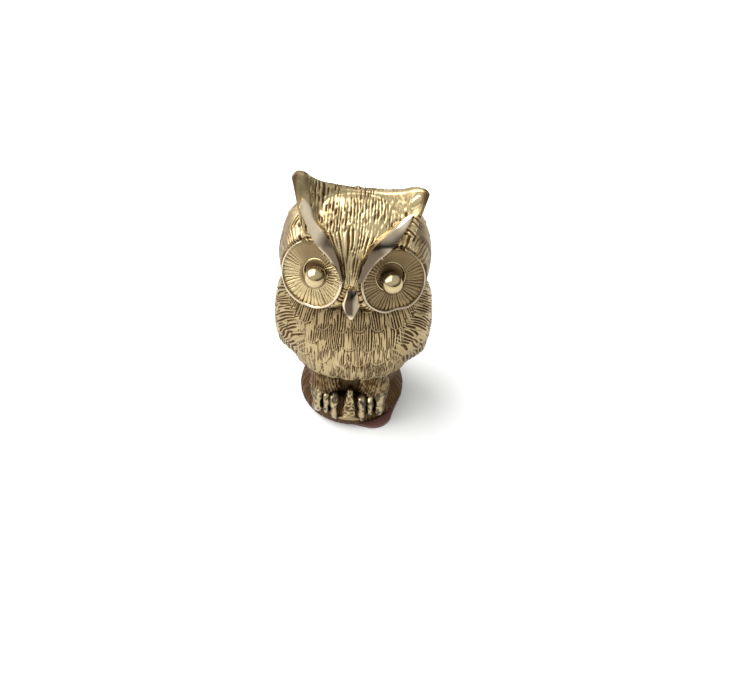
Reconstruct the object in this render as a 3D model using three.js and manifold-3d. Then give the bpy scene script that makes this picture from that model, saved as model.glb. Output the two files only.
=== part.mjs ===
// Owl figurine, a small hollow casting in plated metal that stands on a felt pad.
//
// Millimetres. +Z is up, the owl faces -Y and its own left is +X. The origin is the centre of the
// face that it rests on. The casting is assembled from thin-walled pieces: a front and a rear body
// shell on a round perch, two wings pegged over their seam, a face and a back of the head on the
// neck, a pegged beak, two feet, and ball eyes on stems in turned bezels. A sheet plate and one
// countersunk screw close the perch, and the felt is glued under them.

import * as THREE from "three";
import { mergeVertices } from "three/addons/utils/BufferGeometryUtils.js";
import Module from "manifold-3d";

const wasm = await Module();
wasm.setup();

// ---------------------------------------------------------------- driving dimensions

const PERCH_TOP = 8; // where the body stands on the perch
const NECK_HEIGHT = 36.8; // where the head sits on the body
const NECK = { outer: 9.6, inner: 7.9, rise: 2.6 }; // the spigot that the head fits over
const WALL = 1.7; // wall of the hollow castings
const FIT = 0.12; // clearance between pieces that touch along a curved face
const PLANE_FIT = 0.02; // clearance between pieces that touch along a flat face
const HEAD_SPLIT = 1.5; // y of the joint between the face and the back of the head

// The outside of the round perch as [radius, height], from its rim to the body.
const PERCH_OUTLINE = [
  [12.4, 1],
  [12.8, 1.8],
  [12.9, 2.8],
  [12.6, 4.2],
  [11.7, 5.8],
  [10.8, 7.2],
  [10.4, PERCH_TOP],
];
const PANEL = { low: 3.2, high: 10.4, halfWidths: [2.3, 0.8], front: 13.4, lean: 0.39, back: 9.5 };

// The felt was cut out by hand. Its edge is given as [degrees round from the left side, radius].
const FELT = {
  thickness: 1,
  edge: [
    [-140, 12],
    [-110, 11.8],
    [-86, 11.8],
    [-72, 13],
    [-60, 14.4],
    [-50, 14.5],
    [-40, 13.6],
    [-28, 12.6],
    [0, 12.2],
    [45, 12],
    [90, 12.2],
    [140, 11.9],
    [180, 11.8],
  ],
};
const PLATE = { radius: 10.6, thickness: 1 };
const SCREW = { headRadius: 2.5, headDepth: 0.9, shankRadius: 1.5, length: 5.4, slot: 0.6 };

// Level sections of the hollow forms: height, half width, depth in front, depth behind.
const BODY_SECTIONS = [
  [6, 10.2, 8.4, 10.2],
  [8, 10.6, 8.7, 10.6],
  [11, 11.4, 9.2, 11.8],
  [13.6, 12.4, 10.4, 12.6],
  [16, 13.4, 12.4, 13.2],
  [20, 14.8, 13.5, 14.1],
  [26, 16, 14.1, 14.6],
  [32, 16.1, 13.6, 14.2],
  [36, 15.1, 12.6, 12.9],
  [NECK_HEIGHT, 14.5, 12, 12.2],
];
const WING_SECTIONS = [
  [8, 12.2, 10.5, 12.6],
  [14, 15.2, 12.6, 15],
  [20, 17.3, 14.2, 16],
  [27, 18.4, 15, 16.2],
  [33, 17.9, 14.4, 15.2],
  [36.5, 16.3, 13.2, 13.8],
  [39, 14, 11.4, 12],
];
const HEAD_SECTIONS = [
  [NECK_HEIGHT, 14.6, 12.1, 11.6],
  [40, 16, 13, 12.8],
  [45, 16.8, 13, 13.6],
  [49.5, 16.3, 11.8, 12.6],
  [53.5, 15, 9.4, 10.4],
  [56.6, 12.6, 6.8, 7.4],
  [58.6, 9.6, 4.4, 4.6],
  [59.6, 6.4, 2.4, 2.6],
];
const SECTION_POWER = 2.25; // 2 is an ellipse, and more is squarer
const FORM_SEGMENTS = 36;
const FORM_RINGS = 11;

const WING_ROOT = 7.6; // how near to the middle of the back a wing comes
const WING_PEG = { radius: 1.1, length: 2.4, heights: [24, 31], setback: 5 };

const EYE = {
  ball: 2.4, // radius
  stem: 0.8,
  stemLength: 5.6,
  outward: 18, // degrees that the eye looks to its own side
  upward: 24, // degrees that it looks up
  seat: [8, -9.9, 47.1], // centre of the flat that the bezel is soldered to, on the left side
  standOff: 2.4, // ball centre above the seat
};
const BEZEL = { inner: 2.3, outer: 3.2, height: 1 };
const DISC = { radius: 7.6, depth: 1.2, centre: [8.6, -10.3, 46.6] };

// The crest runs from ear tip to ear tip as [x, height]. Its two ends differ, because the original
// was modelled by hand.
const CREST = [
  [-13.4, 65.8],
  [-12.4, 66.4],
  [-11, 65.8],
  [-8.5, 63.3],
  [-5, 61.6],
  [0, 60.9],
  [5, 61.1],
  [9, 62.4],
  [12.6, 64.4],
  [14.3, 64.7],
];
const CREST_PLATE = {
  foot: 54, // height at which the plate is buried in the head
  footNarrowing: 0.82, // its width there against its width at the crest
  top: 1.6, // y of the crest in the middle
  bow: 3.4, // how far the ear tips stand in front of that
  rake: 0.42, // how far the plate comes forward for each millimetre down
  thickness: [1.5, 4.4], // at the crest and at the foot
  tipTaper: 0.6, // how much thinner the ear tips are
};

const BROW_POINTS = [
  [12.6, -2.2, 58.6],
  [11.4, -3.6, 57.6],
  [8.6, -6.4, 56],
  [5.4, -9.2, 53],
  [2.9, -11.6, 49.6],
  [1.4, -12.5, 46.2],
];
const BROW_SECTION = [1.9, 1.5]; // half width along the face and half height off it

const BEAK = { root: 47.2, tip: 36.6, back: -12.2, front: -15.6, halfWidth: 2.2 };
const BEAK_PEG = { radius: 0.9, length: 2.6, height: 43 };

// Toes from the inside of the foot outwards: heights of the knuckle and of the claw's point.
const TOES = [
  { x: 3.3, knuckle: 7.2, bottom: 2.3, radius: 1 },
  { x: 5.2, knuckle: 7.6, bottom: 3.4, radius: 0.85 },
  { x: 7.4, knuckle: 8.2, bottom: 2.7, radius: 1.45 },
];
const TOE_RING = 12.6; // radius of the circle that the toes lie on, round the perch
const LEG = { centre: [5.6, -8.6, 11.6], radii: [3.9, 2.7, 4.8] };

// ---------------------------------------------------------------- finishes

const texturedPlate = new THREE.MeshStandardMaterial({ color: 0xb9a777, metalness: 1, roughness: 0.36 });
const polishedPlate = new THREE.MeshStandardMaterial({ color: 0xd3c48a, metalness: 1, roughness: 0.16 });
const sheetBrass = new THREE.MeshStandardMaterial({ color: 0xb08d4a, metalness: 1, roughness: 0.4 });
const steel = new THREE.MeshStandardMaterial({ color: 0x9a9a98, metalness: 1, roughness: 0.35 });
const felt = new THREE.MeshStandardMaterial({ color: 0x5c3a33, metalness: 0, roughness: 0.95 });

// ---------------------------------------------------------------- solids

// A closed geometry as a solid that can be joined and cut.
function solid(geometry) {
  const bare = geometry.clone();
  bare.deleteAttribute("normal");
  bare.deleteAttribute("uv");
  const merged = mergeVertices(bare, 1e-4);
  return new wasm.Manifold(
    new wasm.Mesh({
      numProp: 3,
      vertProperties: merged.attributes.position.array,
      triVerts: new Uint32Array(merged.index.array),
    }),
  );
}

// A solid's surface as a geometry.
function geometryOf(body) {
  const { vertProperties, triVerts } = body.getMesh();
  return new THREE.BufferGeometry()
    .setAttribute("position", new THREE.BufferAttribute(vertProperties, 3))
    .setIndex(new THREE.BufferAttribute(triVerts, 1));
}

function piece(name, body, material) {
  const mesh = new THREE.Mesh(geometryOf(body), material);
  mesh.name = name;
  return mesh;
}

const joined = (...bodies) => bodies.reduce((whole, body) => whole.add(body));

// A box between two corners.
function block(low, high) {
  const size = high.map((value, axis) => value - low[axis]);
  return solid(
    new THREE.BoxGeometry(...size).translate(...low.map((value, axis) => value + size[axis] / 2)),
  );
}

// A round bar along +Z from low to high.
function bar(radius, low, high, sides = 20) {
  return solid(
    new THREE.CylinderGeometry(radius, radius, high - low, sides)
      .rotateX(Math.PI / 2)
      .translate(0, 0, (low + high) / 2),
  );
}

// A turned solid from its [radius, height] outline, which runs from the axis back to the axis.
function turned(outline, sides = 40) {
  const points = outline.map(([radius, height]) => new THREE.Vector2(radius, height));
  return solid(new THREE.LatheGeometry(points, sides).rotateX(Math.PI / 2));
}

// A form through level sections, grown outwards by grow, and deeper in front by grow + front.
function form(sections, { grow = 0, front = 0, low = sections[0][0], high = sections.at(-1)[0] } = {}) {
  const heights = sections.map(([height]) => height);
  const spline = new THREE.CubicInterpolant(heights, sections.flatMap((row) => row.slice(1)), 3);
  const outline = [new THREE.Vector2(0, low)];
  for (let ring = 0; ring <= FORM_RINGS; ring++)
    outline.push(new THREE.Vector2(1, low + ((high - low) * ring) / FORM_RINGS));
  outline.push(new THREE.Vector2(0, high));
  const geometry = new THREE.LatheGeometry(outline, FORM_SEGMENTS).rotateX(Math.PI / 2);
  const place = geometry.attributes.position;
  for (let i = 0; i < place.count; i++) {
    const [x, y, z] = [place.getX(i), place.getY(i), place.getZ(i)];
    const reach = Math.hypot(x, y);
    if (reach < 0.5) continue;
    const level = THREE.MathUtils.clamp(z, heights[0], heights.at(-1));
    const [width, ahead, behind] = spline.evaluate(level);
    const bend = (value) => Math.sign(value) * Math.abs(value) ** (2 / SECTION_POWER);
    const depth = y < 0 ? ahead + grow + front : behind + grow;
    place.setXYZ(i, bend(x / reach) * (width + grow), bend(y / reach) * depth, z);
  }
  return solid(geometry);
}

// An ellipsoid at a centre.
function ellipsoid(centre, radii, sides = 20) {
  return solid(
    new THREE.SphereGeometry(1, sides, Math.ceil(sides / 2))
      .rotateX(Math.PI / 2)
      .scale(...radii)
      .translate(...centre),
  );
}

// A rounded bar along points that swells in the middle and tapers to both ends. Its height stands
// off the upright axis of the owl, and its width lies along the surface.
function spindle(points, halfWidth, halfHeight, sides = 10, steps = 12) {
  const path = new THREE.CatmullRomCurve3(points.map((point) => new THREE.Vector3(...point)));
  const geometry = new THREE.SphereGeometry(1, sides, steps).rotateX(Math.PI / 2);
  const place = geometry.attributes.position;
  for (let i = 0; i < place.count; i++) {
    const along = THREE.MathUtils.clamp((place.getZ(i) + 1) / 2, 0, 1);
    const centre = path.getPointAt(along);
    const outwards = new THREE.Vector3(centre.x, centre.y, 0).normalize();
    const across = new THREE.Vector3().crossVectors(outwards, path.getTangentAt(along)).normalize();
    centre.addScaledVector(across, place.getX(i) * halfWidth);
    centre.addScaledVector(outwards, place.getY(i) * halfHeight);
    place.setXYZ(i, centre.x, centre.y, centre.z);
  }
  return solid(geometry);
}

// ---------------------------------------------------------------- base

function feltPad() {
  const corners = FELT.edge.map(([turned, radius]) => {
    const angle = THREE.MathUtils.degToRad(turned);
    return new THREE.Vector3(radius * Math.cos(angle), radius * Math.sin(angle), 0);
  });
  const edge = new THREE.CatmullRomCurve3(corners, true).getPoints(72).slice(0, -1);
  const outline = new THREE.Shape(edge.map(({ x, y }) => new THREE.Vector2(x, y)));
  return solid(new THREE.ExtrudeGeometry(outline, { depth: FELT.thickness, bevelEnabled: false }));
}

function basePlate() {
  const bottom = FELT.thickness;
  const hole = SCREW.shankRadius + FIT;
  return turned([
    [hole, bottom + PLATE.thickness],
    [hole, bottom + SCREW.headDepth],
    [SCREW.headRadius + FIT, bottom],
    [PLATE.radius, bottom],
    [PLATE.radius, bottom + PLATE.thickness],
    [hole, bottom + PLATE.thickness],
  ]);
}

// A countersunk screw, head down, with its slot across the head.
function baseScrew() {
  const { headRadius, headDepth, shankRadius, length, slot } = SCREW;
  const bottom = FELT.thickness + PLANE_FIT;
  const screw = turned(
    [
      [0, bottom],
      [headRadius, bottom],
      [shankRadius, bottom + headDepth],
      [shankRadius, bottom + length - 0.6],
      [shankRadius - 0.5, bottom + length],
      [0, bottom + length],
    ],
    24,
  );
  const slotCut = block([-headRadius - 1, -slot / 2, 0], [headRadius + 1, slot / 2, bottom + 0.5]);
  return screw.subtract(slotCut);
}

// The perch as a solid lump, grown outwards.
function perchLump(grow) {
  const side = PERCH_OUTLINE.map(([radius, height]) => [radius + grow, height]);
  const top = PERCH_TOP + grow;
  return turned([[0, 0], [side[0][0], 0], ...side, [side.at(-1)[0], top], [0, top]]);
}

// The small flared feather panel between the feet, which leans back as it rises.
function featherPanel() {
  const { low, high, halfWidths, front, lean, back } = PANEL;
  const outline = new THREE.Shape([
    new THREE.Vector2(-halfWidths[0], low),
    new THREE.Vector2(halfWidths[0], low),
    new THREE.Vector2(halfWidths[1], high),
    new THREE.Vector2(-halfWidths[1], high),
  ]);
  const slab = new THREE.ExtrudeGeometry(outline, { depth: 1, bevelEnabled: false });
  slab.rotateX(Math.PI / 2);
  const place = slab.attributes.position;
  for (let i = 0; i < place.count; i++) {
    const isFront = place.getY(i) < -0.5;
    place.setY(i, isFront ? lean * (place.getZ(i) - low) - front : -back);
  }
  return solid(slab);
}

// The perch: a hollow round mound with a boss for the screw and a lip that centres the body.
function perchBase() {
  const rim = FELT.thickness;
  const ledge = rim + PLATE.thickness + PLANE_FIT;
  const recess = PLATE.radius + FIT;
  const boss = SCREW.shankRadius + 0.1;
  const underTop = PERCH_TOP - 2.4;
  const mound = turned([
    [0, PERCH_TOP - 0.4],
    [boss, PERCH_TOP - 0.4],
    [boss, ledge],
    [boss + 1.3, ledge],
    [boss + 1.5, underTop],
    [9, underTop],
    [9.6, ledge],
    [recess, ledge],
    [recess, rim],
    ...PERCH_OUTLINE,
    [7, PERCH_TOP],
    [7, PERCH_TOP + 1.2],
    [6, PERCH_TOP + 1.2],
    [6, PERCH_TOP],
    [0, PERCH_TOP],
  ]);
  return mound.add(featherPanel());
}

// ---------------------------------------------------------------- body

const bodyForm = (options) => form(BODY_SECTIONS, options);

// The whole hollow body before it is parted, with its neck.
function hollowBody() {
  const neck = bar(NECK.outer, NECK_HEIGHT - 2, NECK_HEIGHT + NECK.rise, 40);
  const outside = bodyForm({ low: PERCH_TOP }).add(neck);
  const inside = bodyForm({ grow: -WALL, low: PERCH_TOP - 1, high: NECK_HEIGHT - WALL });
  return outside.subtract(inside).subtract(bar(NECK.inner, NECK_HEIGHT - 4, NECK_HEIGHT + 4, 40));
}

// The pegs on the inside of a wing, or with grow the holes that they enter.
function wingPegs(side, grow = 0) {
  const { radius, length, heights, setback } = WING_PEG;
  return joined(
    ...heights.map((height, index) => {
      const peg = new THREE.CylinderGeometry(radius + grow, radius + grow, length + 2 + grow, 16);
      const across = side * (15.4 - length / 2);
      peg.rotateZ(Math.PI / 2).translate(across, index ? setback : -setback, height);
      return solid(peg);
    }),
  );
}

// The tail: a short plate of feathers down the back of the perch.
function tail() {
  const outline = new THREE.Shape()
    .moveTo(-4.6, 17)
    .quadraticCurveTo(-7, 9, -5.8, 2.4)
    .quadraticCurveTo(0, 0.4, 5.8, 2.4)
    .quadraticCurveTo(7, 9, 4.6, 17);
  const plate = new THREE.ExtrudeGeometry(outline, { depth: 6, bevelEnabled: false, curveSegments: 8 });
  plate.rotateX(Math.PI / 2).translate(0, 17, 0);
  const keep = ellipsoid([0, 3, 8], [10, 12.3, 22], 28);
  return solid(plate).intersect(keep);
}

function bodyShells() {
  const holes = joined(wingPegs(1, 0.1), wingPegs(-1, 0.1));
  const whole = hollowBody().subtract(holes);
  const hollow = bodyForm({ grow: -WALL, low: 6, high: NECK_HEIGHT - WALL });
  const ownTail = tail().subtract(hollow).subtract(perchLump(FIT));
  return {
    front: whole.intersect(block([-30, -30, 0], [30, 0, 60])),
    rear: whole.intersect(block([-30, 0, 0], [30, 30, 60])).add(ownTail),
  };
}

// ---------------------------------------------------------------- wings

function wing(side) {
  const outline = new THREE.Shape();
  outline.moveTo(3, 36.6);
  outline.splineThru(
    [
      [-5, 36.2],
      [-10, 33],
      [-11.4, 27],
      [-9.4, 20.5],
      [-4.5, 15.8],
      [1.5, 12.6],
      [8.5, 9.6],
      [12.4, 11.4],
      [13.2, 20],
      [12.2, 29],
      [9, 34.6],
      [3, 36.6],
    ].map(([y, z]) => new THREE.Vector2(y, z)),
  );
  const slab = new THREE.ExtrudeGeometry(outline, { depth: 24, bevelEnabled: false, curveSegments: 3 });
  const alongX = new THREE.Matrix4().makeBasis(
    new THREE.Vector3(0, 1, 0),
    new THREE.Vector3(0, 0, 1),
    new THREE.Vector3(1, 0, 0),
  );
  slab.applyMatrix4(alongX).translate(side > 0 ? WING_ROOT : -WING_ROOT - 24, 0, 0);
  const plumage = solid(slab).intersect(form(WING_SECTIONS));
  const pegs = wingPegs(side).subtract(bodyForm({ grow: 0.5 - WALL }));
  return plumage.subtract(bodyForm({ grow: FIT })).add(pegs);
}

// ---------------------------------------------------------------- head

const headForm = (options) => form(HEAD_SECTIONS, options);
const neckSocket = () => bar(NECK.outer + FIT, 30, NECK_HEIGHT + NECK.rise + 0.1, 40);
const mirrored = ([x, y, z], side) => [side * x, y, z];

// The direction in which an eye looks.
function gaze(side) {
  const outward = THREE.MathUtils.degToRad(EYE.outward);
  const upward = THREE.MathUtils.degToRad(EYE.upward);
  return new THREE.Vector3(
    side * Math.sin(outward) * Math.cos(upward),
    -Math.cos(outward) * Math.cos(upward),
    Math.sin(upward),
  );
}

// Turns a geometry that stands on +Z to stand on the eye's seat, looking out.
function onSeat(geometry, side) {
  const turn = new THREE.Quaternion().setFromUnitVectors(new THREE.Vector3(0, 0, 1), gaze(side));
  return geometry.applyQuaternion(turn).translate(...mirrored(EYE.seat, side));
}

const rod = (radius, low, high, sides) =>
  new THREE.CylinderGeometry(radius, radius, high - low, sides)
    .rotateX(Math.PI / 2)
    .translate(0, 0, (low + high) / 2);

const stemHole = (side) => solid(onSeat(rod(EYE.stem + 0.06, -8, 1, 16), side));

// What is cut from the face for one eye: a shallow dish and the bezel's flat seat.
function eyeCut(side) {
  const { radius, depth, centre } = DISC;
  const curve = (radius ** 2 + depth ** 2) / (2 * depth); // radius of the ball that cuts such a dish
  const ball = new THREE.SphereGeometry(curve, 56, 36);
  const outwards = gaze(side).multiplyScalar(curve - depth);
  ball.translate(...outwards.add(new THREE.Vector3(...mirrored(centre, side))).toArray());
  const nearby = ellipsoid(mirrored([10, -12, 48], side), [11, 9, 11], 32);
  const dish = solid(ball).intersect(nearby);
  const seat = solid(onSeat(rod(BEZEL.outer + FIT, -0.05, 6, 32), side));
  return dish.add(seat);
}

// The two ears and the crest between them: a plate whose upper edge follows the crest.
function crestPlate() {
  const { foot, footNarrowing, top, bow, rake, thickness, tipTaper } = CREST_PLATE;
  const ends = CREST.map(([x]) => x);
  const rise = new THREE.CubicInterpolant(ends, CREST.map(([, height]) => height), 1);
  const plate = new THREE.BoxGeometry(1, 1, 1, 16, 1, 5);
  const place = plate.attributes.position;
  for (let i = 0; i < place.count; i++) {
    const up = place.getZ(i) + 0.5;
    const crestX = THREE.MathUtils.lerp(ends[0], ends.at(-1), place.getX(i) + 0.5);
    const [crestHeight] = rise.evaluate(crestX);
    const z = THREE.MathUtils.lerp(foot, crestHeight, up);
    const x = crestX * THREE.MathUtils.lerp(footNarrowing, 1, up);
    const middle = top - bow * (crestX / ends.at(-1)) ** 2 - rake * (crestHeight - z);
    const taper = 1 - tipTaper * Math.abs(2 * place.getX(i)) ** 6;
    const y = middle + place.getY(i) * taper * THREE.MathUtils.lerp(thickness[1], thickness[0], up);
    place.setXYZ(i, x, y, z);
  }
  return solid(plate);
}

function brow(side) {
  const points = BROW_POINTS.map((point) => mirrored(point, side));
  return spindle(points, ...BROW_SECTION, 12, 16);
}

function face() {
  const frontHalf = block([-30, -30, NECK_HEIGHT], [30, HEAD_SPLIT, 80]);
  const skull = headForm().intersect(frontHalf);
  const hollow = headForm({ grow: -WALL, front: -3.2, low: NECK_HEIGHT - 1, high: 59 });
  const cuts = joined(eyeCut(1), eyeCut(-1));
  const crown = skull.subtract(cuts).add(crestPlate()).add(brow(1)).add(brow(-1)).intersect(frontHalf);
  const beakSeat = block(
    [-BEAK.halfWidth - 0.3, -30, 30],
    [BEAK.halfWidth + 0.3, BEAK.back + FIT, BEAK.root + 0.4],
  );
  const beakHole = rod(BEAK_PEG.radius + 0.08, 0, 12, 16).rotateX(-Math.PI / 2);
  beakHole.translate(0, BEAK.back - 6, BEAK_PEG.height);
  return crown
    .subtract(hollow)
    .subtract(beakSeat)
    .subtract(solid(beakHole))
    .subtract(stemHole(1))
    .subtract(stemHole(-1))
    .subtract(neckSocket());
}

function backOfHead() {
  const rearHalf = block([-30, HEAD_SPLIT + PLANE_FIT, NECK_HEIGHT], [30, 30, 80]);
  const hollow = headForm({ grow: -WALL, low: NECK_HEIGHT - 1, high: 59.6 });
  return headForm()
    .intersect(rearHalf)
    .subtract(hollow)
    .subtract(neckSocket());
}

// The ball and its stem, standing on +Z, with the ball's centre above the seat.
function eyeBall() {
  const ball = new THREE.SphereGeometry(EYE.ball, 22, 14).rotateX(Math.PI / 2);
  return solid(ball.translate(0, 0, EYE.standOff)).add(
    solid(rod(EYE.stem, 0.5 - EYE.stemLength, EYE.standOff, 16)),
  );
}

// The turned ring round the foot of the ball.
function bezel() {
  const { inner, outer, height } = BEZEL;
  const floor = 0.1; // above the seat
  return turned(
    [
      [inner, floor],
      [outer, floor],
      [outer, floor + height * 0.55],
      [outer - 0.3, floor + height],
      [inner + 0.35, floor + height],
      [inner, floor + height * 0.6],
      [inner, floor],
    ],
    32,
  );
}

// Ball and bezel of one eye, in a group that stands on the eye's seat and looks out.
function eye(side, name) {
  const group = new THREE.Group();
  group.position.set(...mirrored(EYE.seat, side));
  group.quaternion.setFromUnitVectors(new THREE.Vector3(0, 0, 1), gaze(side));
  group.add(piece(name + "_eye_ball", eyeBall(), polishedPlate));
  group.add(piece(name + "_eye_bezel", bezel(), polishedPlate));
  return group;
}

// The beak: a long hooked wedge with a peg behind it.
function beak() {
  const { root, tip, back, front, halfWidth } = BEAK;
  const outline = new THREE.Shape()
    .moveTo(back, root)
    .quadraticCurveTo(back - 1.2, root - 1, back - 1.9, root - 4)
    .quadraticCurveTo(front - 0.4, root - 7, front + 0.5, tip + 1.2)
    .lineTo(front + 1.2, tip)
    .quadraticCurveTo(back - 0.9, tip + 0.8, back, tip + 2.2);
  const slab = new THREE.ExtrudeGeometry(outline, {
    depth: 2 * halfWidth,
    bevelEnabled: false,
    curveSegments: 8,
  });
  const alongX = new THREE.Matrix4().makeBasis(
    new THREE.Vector3(0, 1, 0),
    new THREE.Vector3(0, 0, 1),
    new THREE.Vector3(1, 0, 0),
  );
  slab.applyMatrix4(alongX).translate(-halfWidth, 0, 0);
  const wedge = solid(slab).intersect(ellipsoid([0, back, 41], [halfWidth, 4, 7.2], 32));
  const peg = new THREE.CylinderGeometry(BEAK_PEG.radius, BEAK_PEG.radius, BEAK_PEG.length + 1, 16);
  peg.translate(0, back + (BEAK_PEG.length - 1) / 2, BEAK_PEG.height);
  return wedge.add(solid(peg));
}

// ---------------------------------------------------------------- feet

// A foot: the feathered leg and three toes that curl over the front of the perch.
function foot(side) {
  const leg = ellipsoid(mirrored(LEG.centre, side), LEG.radii, 24);
  const toes = TOES.map(({ x, knuckle, bottom, radius }) => {
    const front = -Math.sqrt(TOE_RING ** 2 - x ** 2);
    const points = [
      [side * (x * 0.6 + 2), front + 3.4, knuckle + 4],
      [side * x, front + 0.5, knuckle + 1.4],
      [side * x, front - 0.5, knuckle - 1],
      [side * x, front - 0.3, bottom + 1.2],
      [side * x, front + 0.3, bottom],
    ];
    return spindle(points, radius, radius, 10, 12);
  });
  const panelGap = PANEL.halfWidths[0] + FIT;
  const besidePanel = block([-panelGap, -20, 0], [panelGap, 0, PANEL.high + FIT]);
  const above = block([-30, -30, FELT.thickness + 0.1], [30, 30, 40]);
  return joined(leg, ...toes)
    .subtract(perchLump(FIT))
    .subtract(besidePanel)
    .subtract(bodyForm({ grow: FIT, low: 7 }))
    .intersect(above);
}

// ---------------------------------------------------------------- assembly

const shells = bodyShells();

const base = new THREE.Group();
base.add(piece("felt_pad", feltPad(), felt));
base.add(piece("base_plate", basePlate(), sheetBrass));
base.add(piece("base_screw", baseScrew(), steel));
base.add(piece("perch_base", perchBase(), texturedPlate));
base.add(piece("left_foot", foot(1), polishedPlate));
base.add(piece("right_foot", foot(-1), polishedPlate));

const body = new THREE.Group();
body.add(piece("front_body_shell", shells.front, texturedPlate));
body.add(piece("rear_body_shell", shells.rear, texturedPlate));
body.add(piece("left_wing", wing(1), texturedPlate));
body.add(piece("right_wing", wing(-1), texturedPlate));

const head = new THREE.Group();
head.add(piece("face_casting", face(), texturedPlate));
head.add(piece("back_of_head", backOfHead(), texturedPlate));
head.add(piece("beak", beak(), polishedPlate));
head.add(eye(1, "left"));
head.add(eye(-1, "right"));

const owl = new THREE.Group();
owl.add(base, body, head);
export default owl;
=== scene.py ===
"""Looks of a small plated owl figurine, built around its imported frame.

The owl is a hollow casting in pale gold plate. Its plumage was chased in wax with short gouge
strokes, and the brows, the beak, the eyes, their rims and the toes were polished bright. Old
polish and tarnish darken the bottoms of the strokes. Every class below builds one group of
pieces in millimetres, and each finished piece is then brought to metres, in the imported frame.
"""

import logging
import math
from dataclasses import dataclass
from enum import Enum, IntEnum
from typing import Iterable, Sequence

import bpy
import numpy as np
from mathutils import Matrix, Vector
from mathutils.bvhtree import BVHTree


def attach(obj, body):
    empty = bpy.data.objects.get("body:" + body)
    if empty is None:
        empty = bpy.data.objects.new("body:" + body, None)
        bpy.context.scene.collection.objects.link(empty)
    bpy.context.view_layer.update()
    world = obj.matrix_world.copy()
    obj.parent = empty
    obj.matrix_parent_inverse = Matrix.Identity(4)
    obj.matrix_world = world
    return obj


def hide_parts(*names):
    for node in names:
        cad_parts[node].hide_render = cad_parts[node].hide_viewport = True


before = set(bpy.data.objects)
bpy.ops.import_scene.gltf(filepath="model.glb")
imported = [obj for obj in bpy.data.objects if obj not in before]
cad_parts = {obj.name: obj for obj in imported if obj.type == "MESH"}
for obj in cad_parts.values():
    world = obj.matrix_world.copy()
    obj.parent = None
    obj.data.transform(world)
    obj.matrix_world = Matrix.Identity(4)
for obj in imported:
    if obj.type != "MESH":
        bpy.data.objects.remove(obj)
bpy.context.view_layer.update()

logging.basicConfig(level=logging.INFO, format="%(message)s")
LOG = logging.getLogger("owl")

MM = 0.001
BODY = "root"
VOXEL = 0.17  # mm between the points of a chased skin
Array = np.ndarray
Object = bpy.types.Object


class Side(IntEnum):
    """The owl's own two sides, each with its sign across."""

    LEFT = 1
    RIGHT = -1

    @property
    def label(self) -> str:
        """The side's name, as the names of pieces have it."""
        return self.name.lower()


# ---------------------------------------------------------------- bench tools


def deselect_all() -> None:
    """Leave edit mode and select nothing."""
    if bpy.context.object and bpy.context.object.mode != "OBJECT":
        bpy.ops.object.mode_set(mode="OBJECT")
    bpy.ops.object.select_all(action="DESELECT")


def select_only(piece: Object) -> None:
    """Make a piece the only selected and the active object."""
    deselect_all()
    piece.select_set(True)
    bpy.context.view_layer.objects.active = piece


def apply_modifier(piece: Object, kind: str, **settings: object) -> None:
    """Add a modifier with its settings and apply it.

    Args:
        piece: the object that is changed.
        kind: Blender's name of the modifier type.
        settings: values of the modifier's properties.
    """
    select_only(piece)
    modifier = piece.modifiers.new(kind.lower(), kind)
    for key, value in settings.items():
        setattr(modifier, key, value)
    bpy.ops.object.modifier_apply(modifier=modifier.name)


def points_of(piece: Object) -> Array:
    """Vertex positions as an array of rows."""
    flat = np.empty(len(piece.data.vertices) * 3)
    piece.data.vertices.foreach_get("co", flat)
    return flat.reshape(-1, 3)


def set_points(piece: Object, points: Array) -> None:
    """Write vertex positions back to a mesh."""
    piece.data.vertices.foreach_set("co", np.ascontiguousarray(points, float).ravel())
    piece.data.update()


def normals_of(piece: Object) -> Array:
    """Vertex normals as an array of rows."""
    flat = np.empty(len(piece.data.vertices) * 3)
    piece.data.vertices.foreach_get("normal", flat)
    return flat.reshape(-1, 3)


def set_attribute(piece: Object, name: str, values: Array) -> None:
    """Store one number per vertex, which the finishes read by name."""
    found = piece.data.attributes.get(name)
    layer = found or piece.data.attributes.new(name, "FLOAT", "POINT")
    layer.data.foreach_set("value", np.clip(values, 0, 1).astype(np.float32))


def recalculate_normals(piece: Object) -> None:
    """Merge doubles and point every face outwards."""
    select_only(piece)
    bpy.ops.object.mode_set(mode="EDIT")
    bpy.ops.mesh.select_all(action="SELECT")
    bpy.ops.mesh.remove_doubles(threshold=1e-4)
    bpy.ops.mesh.normals_make_consistent(inside=False)
    bpy.ops.object.mode_set(mode="OBJECT")


def new_ball(name: str, segments: int, rings: int) -> Object:
    """A unit ball at the origin, the blank of every rounded form."""
    deselect_all()
    bpy.ops.mesh.primitive_uv_sphere_add(segments=segments, ring_count=rings, radius=1)
    ball = bpy.context.object
    ball.name = ball.data.name = name
    return ball


def around_axis(unit: Array) -> tuple[Array, Array]:
    """Each point's direction round a unit ball's upright axis, as its two parts."""
    reach = np.maximum(np.hypot(unit[:, 0], unit[:, 1]), 1e-9)
    return unit[:, 0] / reach, unit[:, 1] / reach


def way_down(unit: Array) -> Array:
    """Each point's share of the way from a unit ball's upper pole to its lower one."""
    return np.arccos(np.clip(unit[:, 2], -1, 1)) / math.pi


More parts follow.
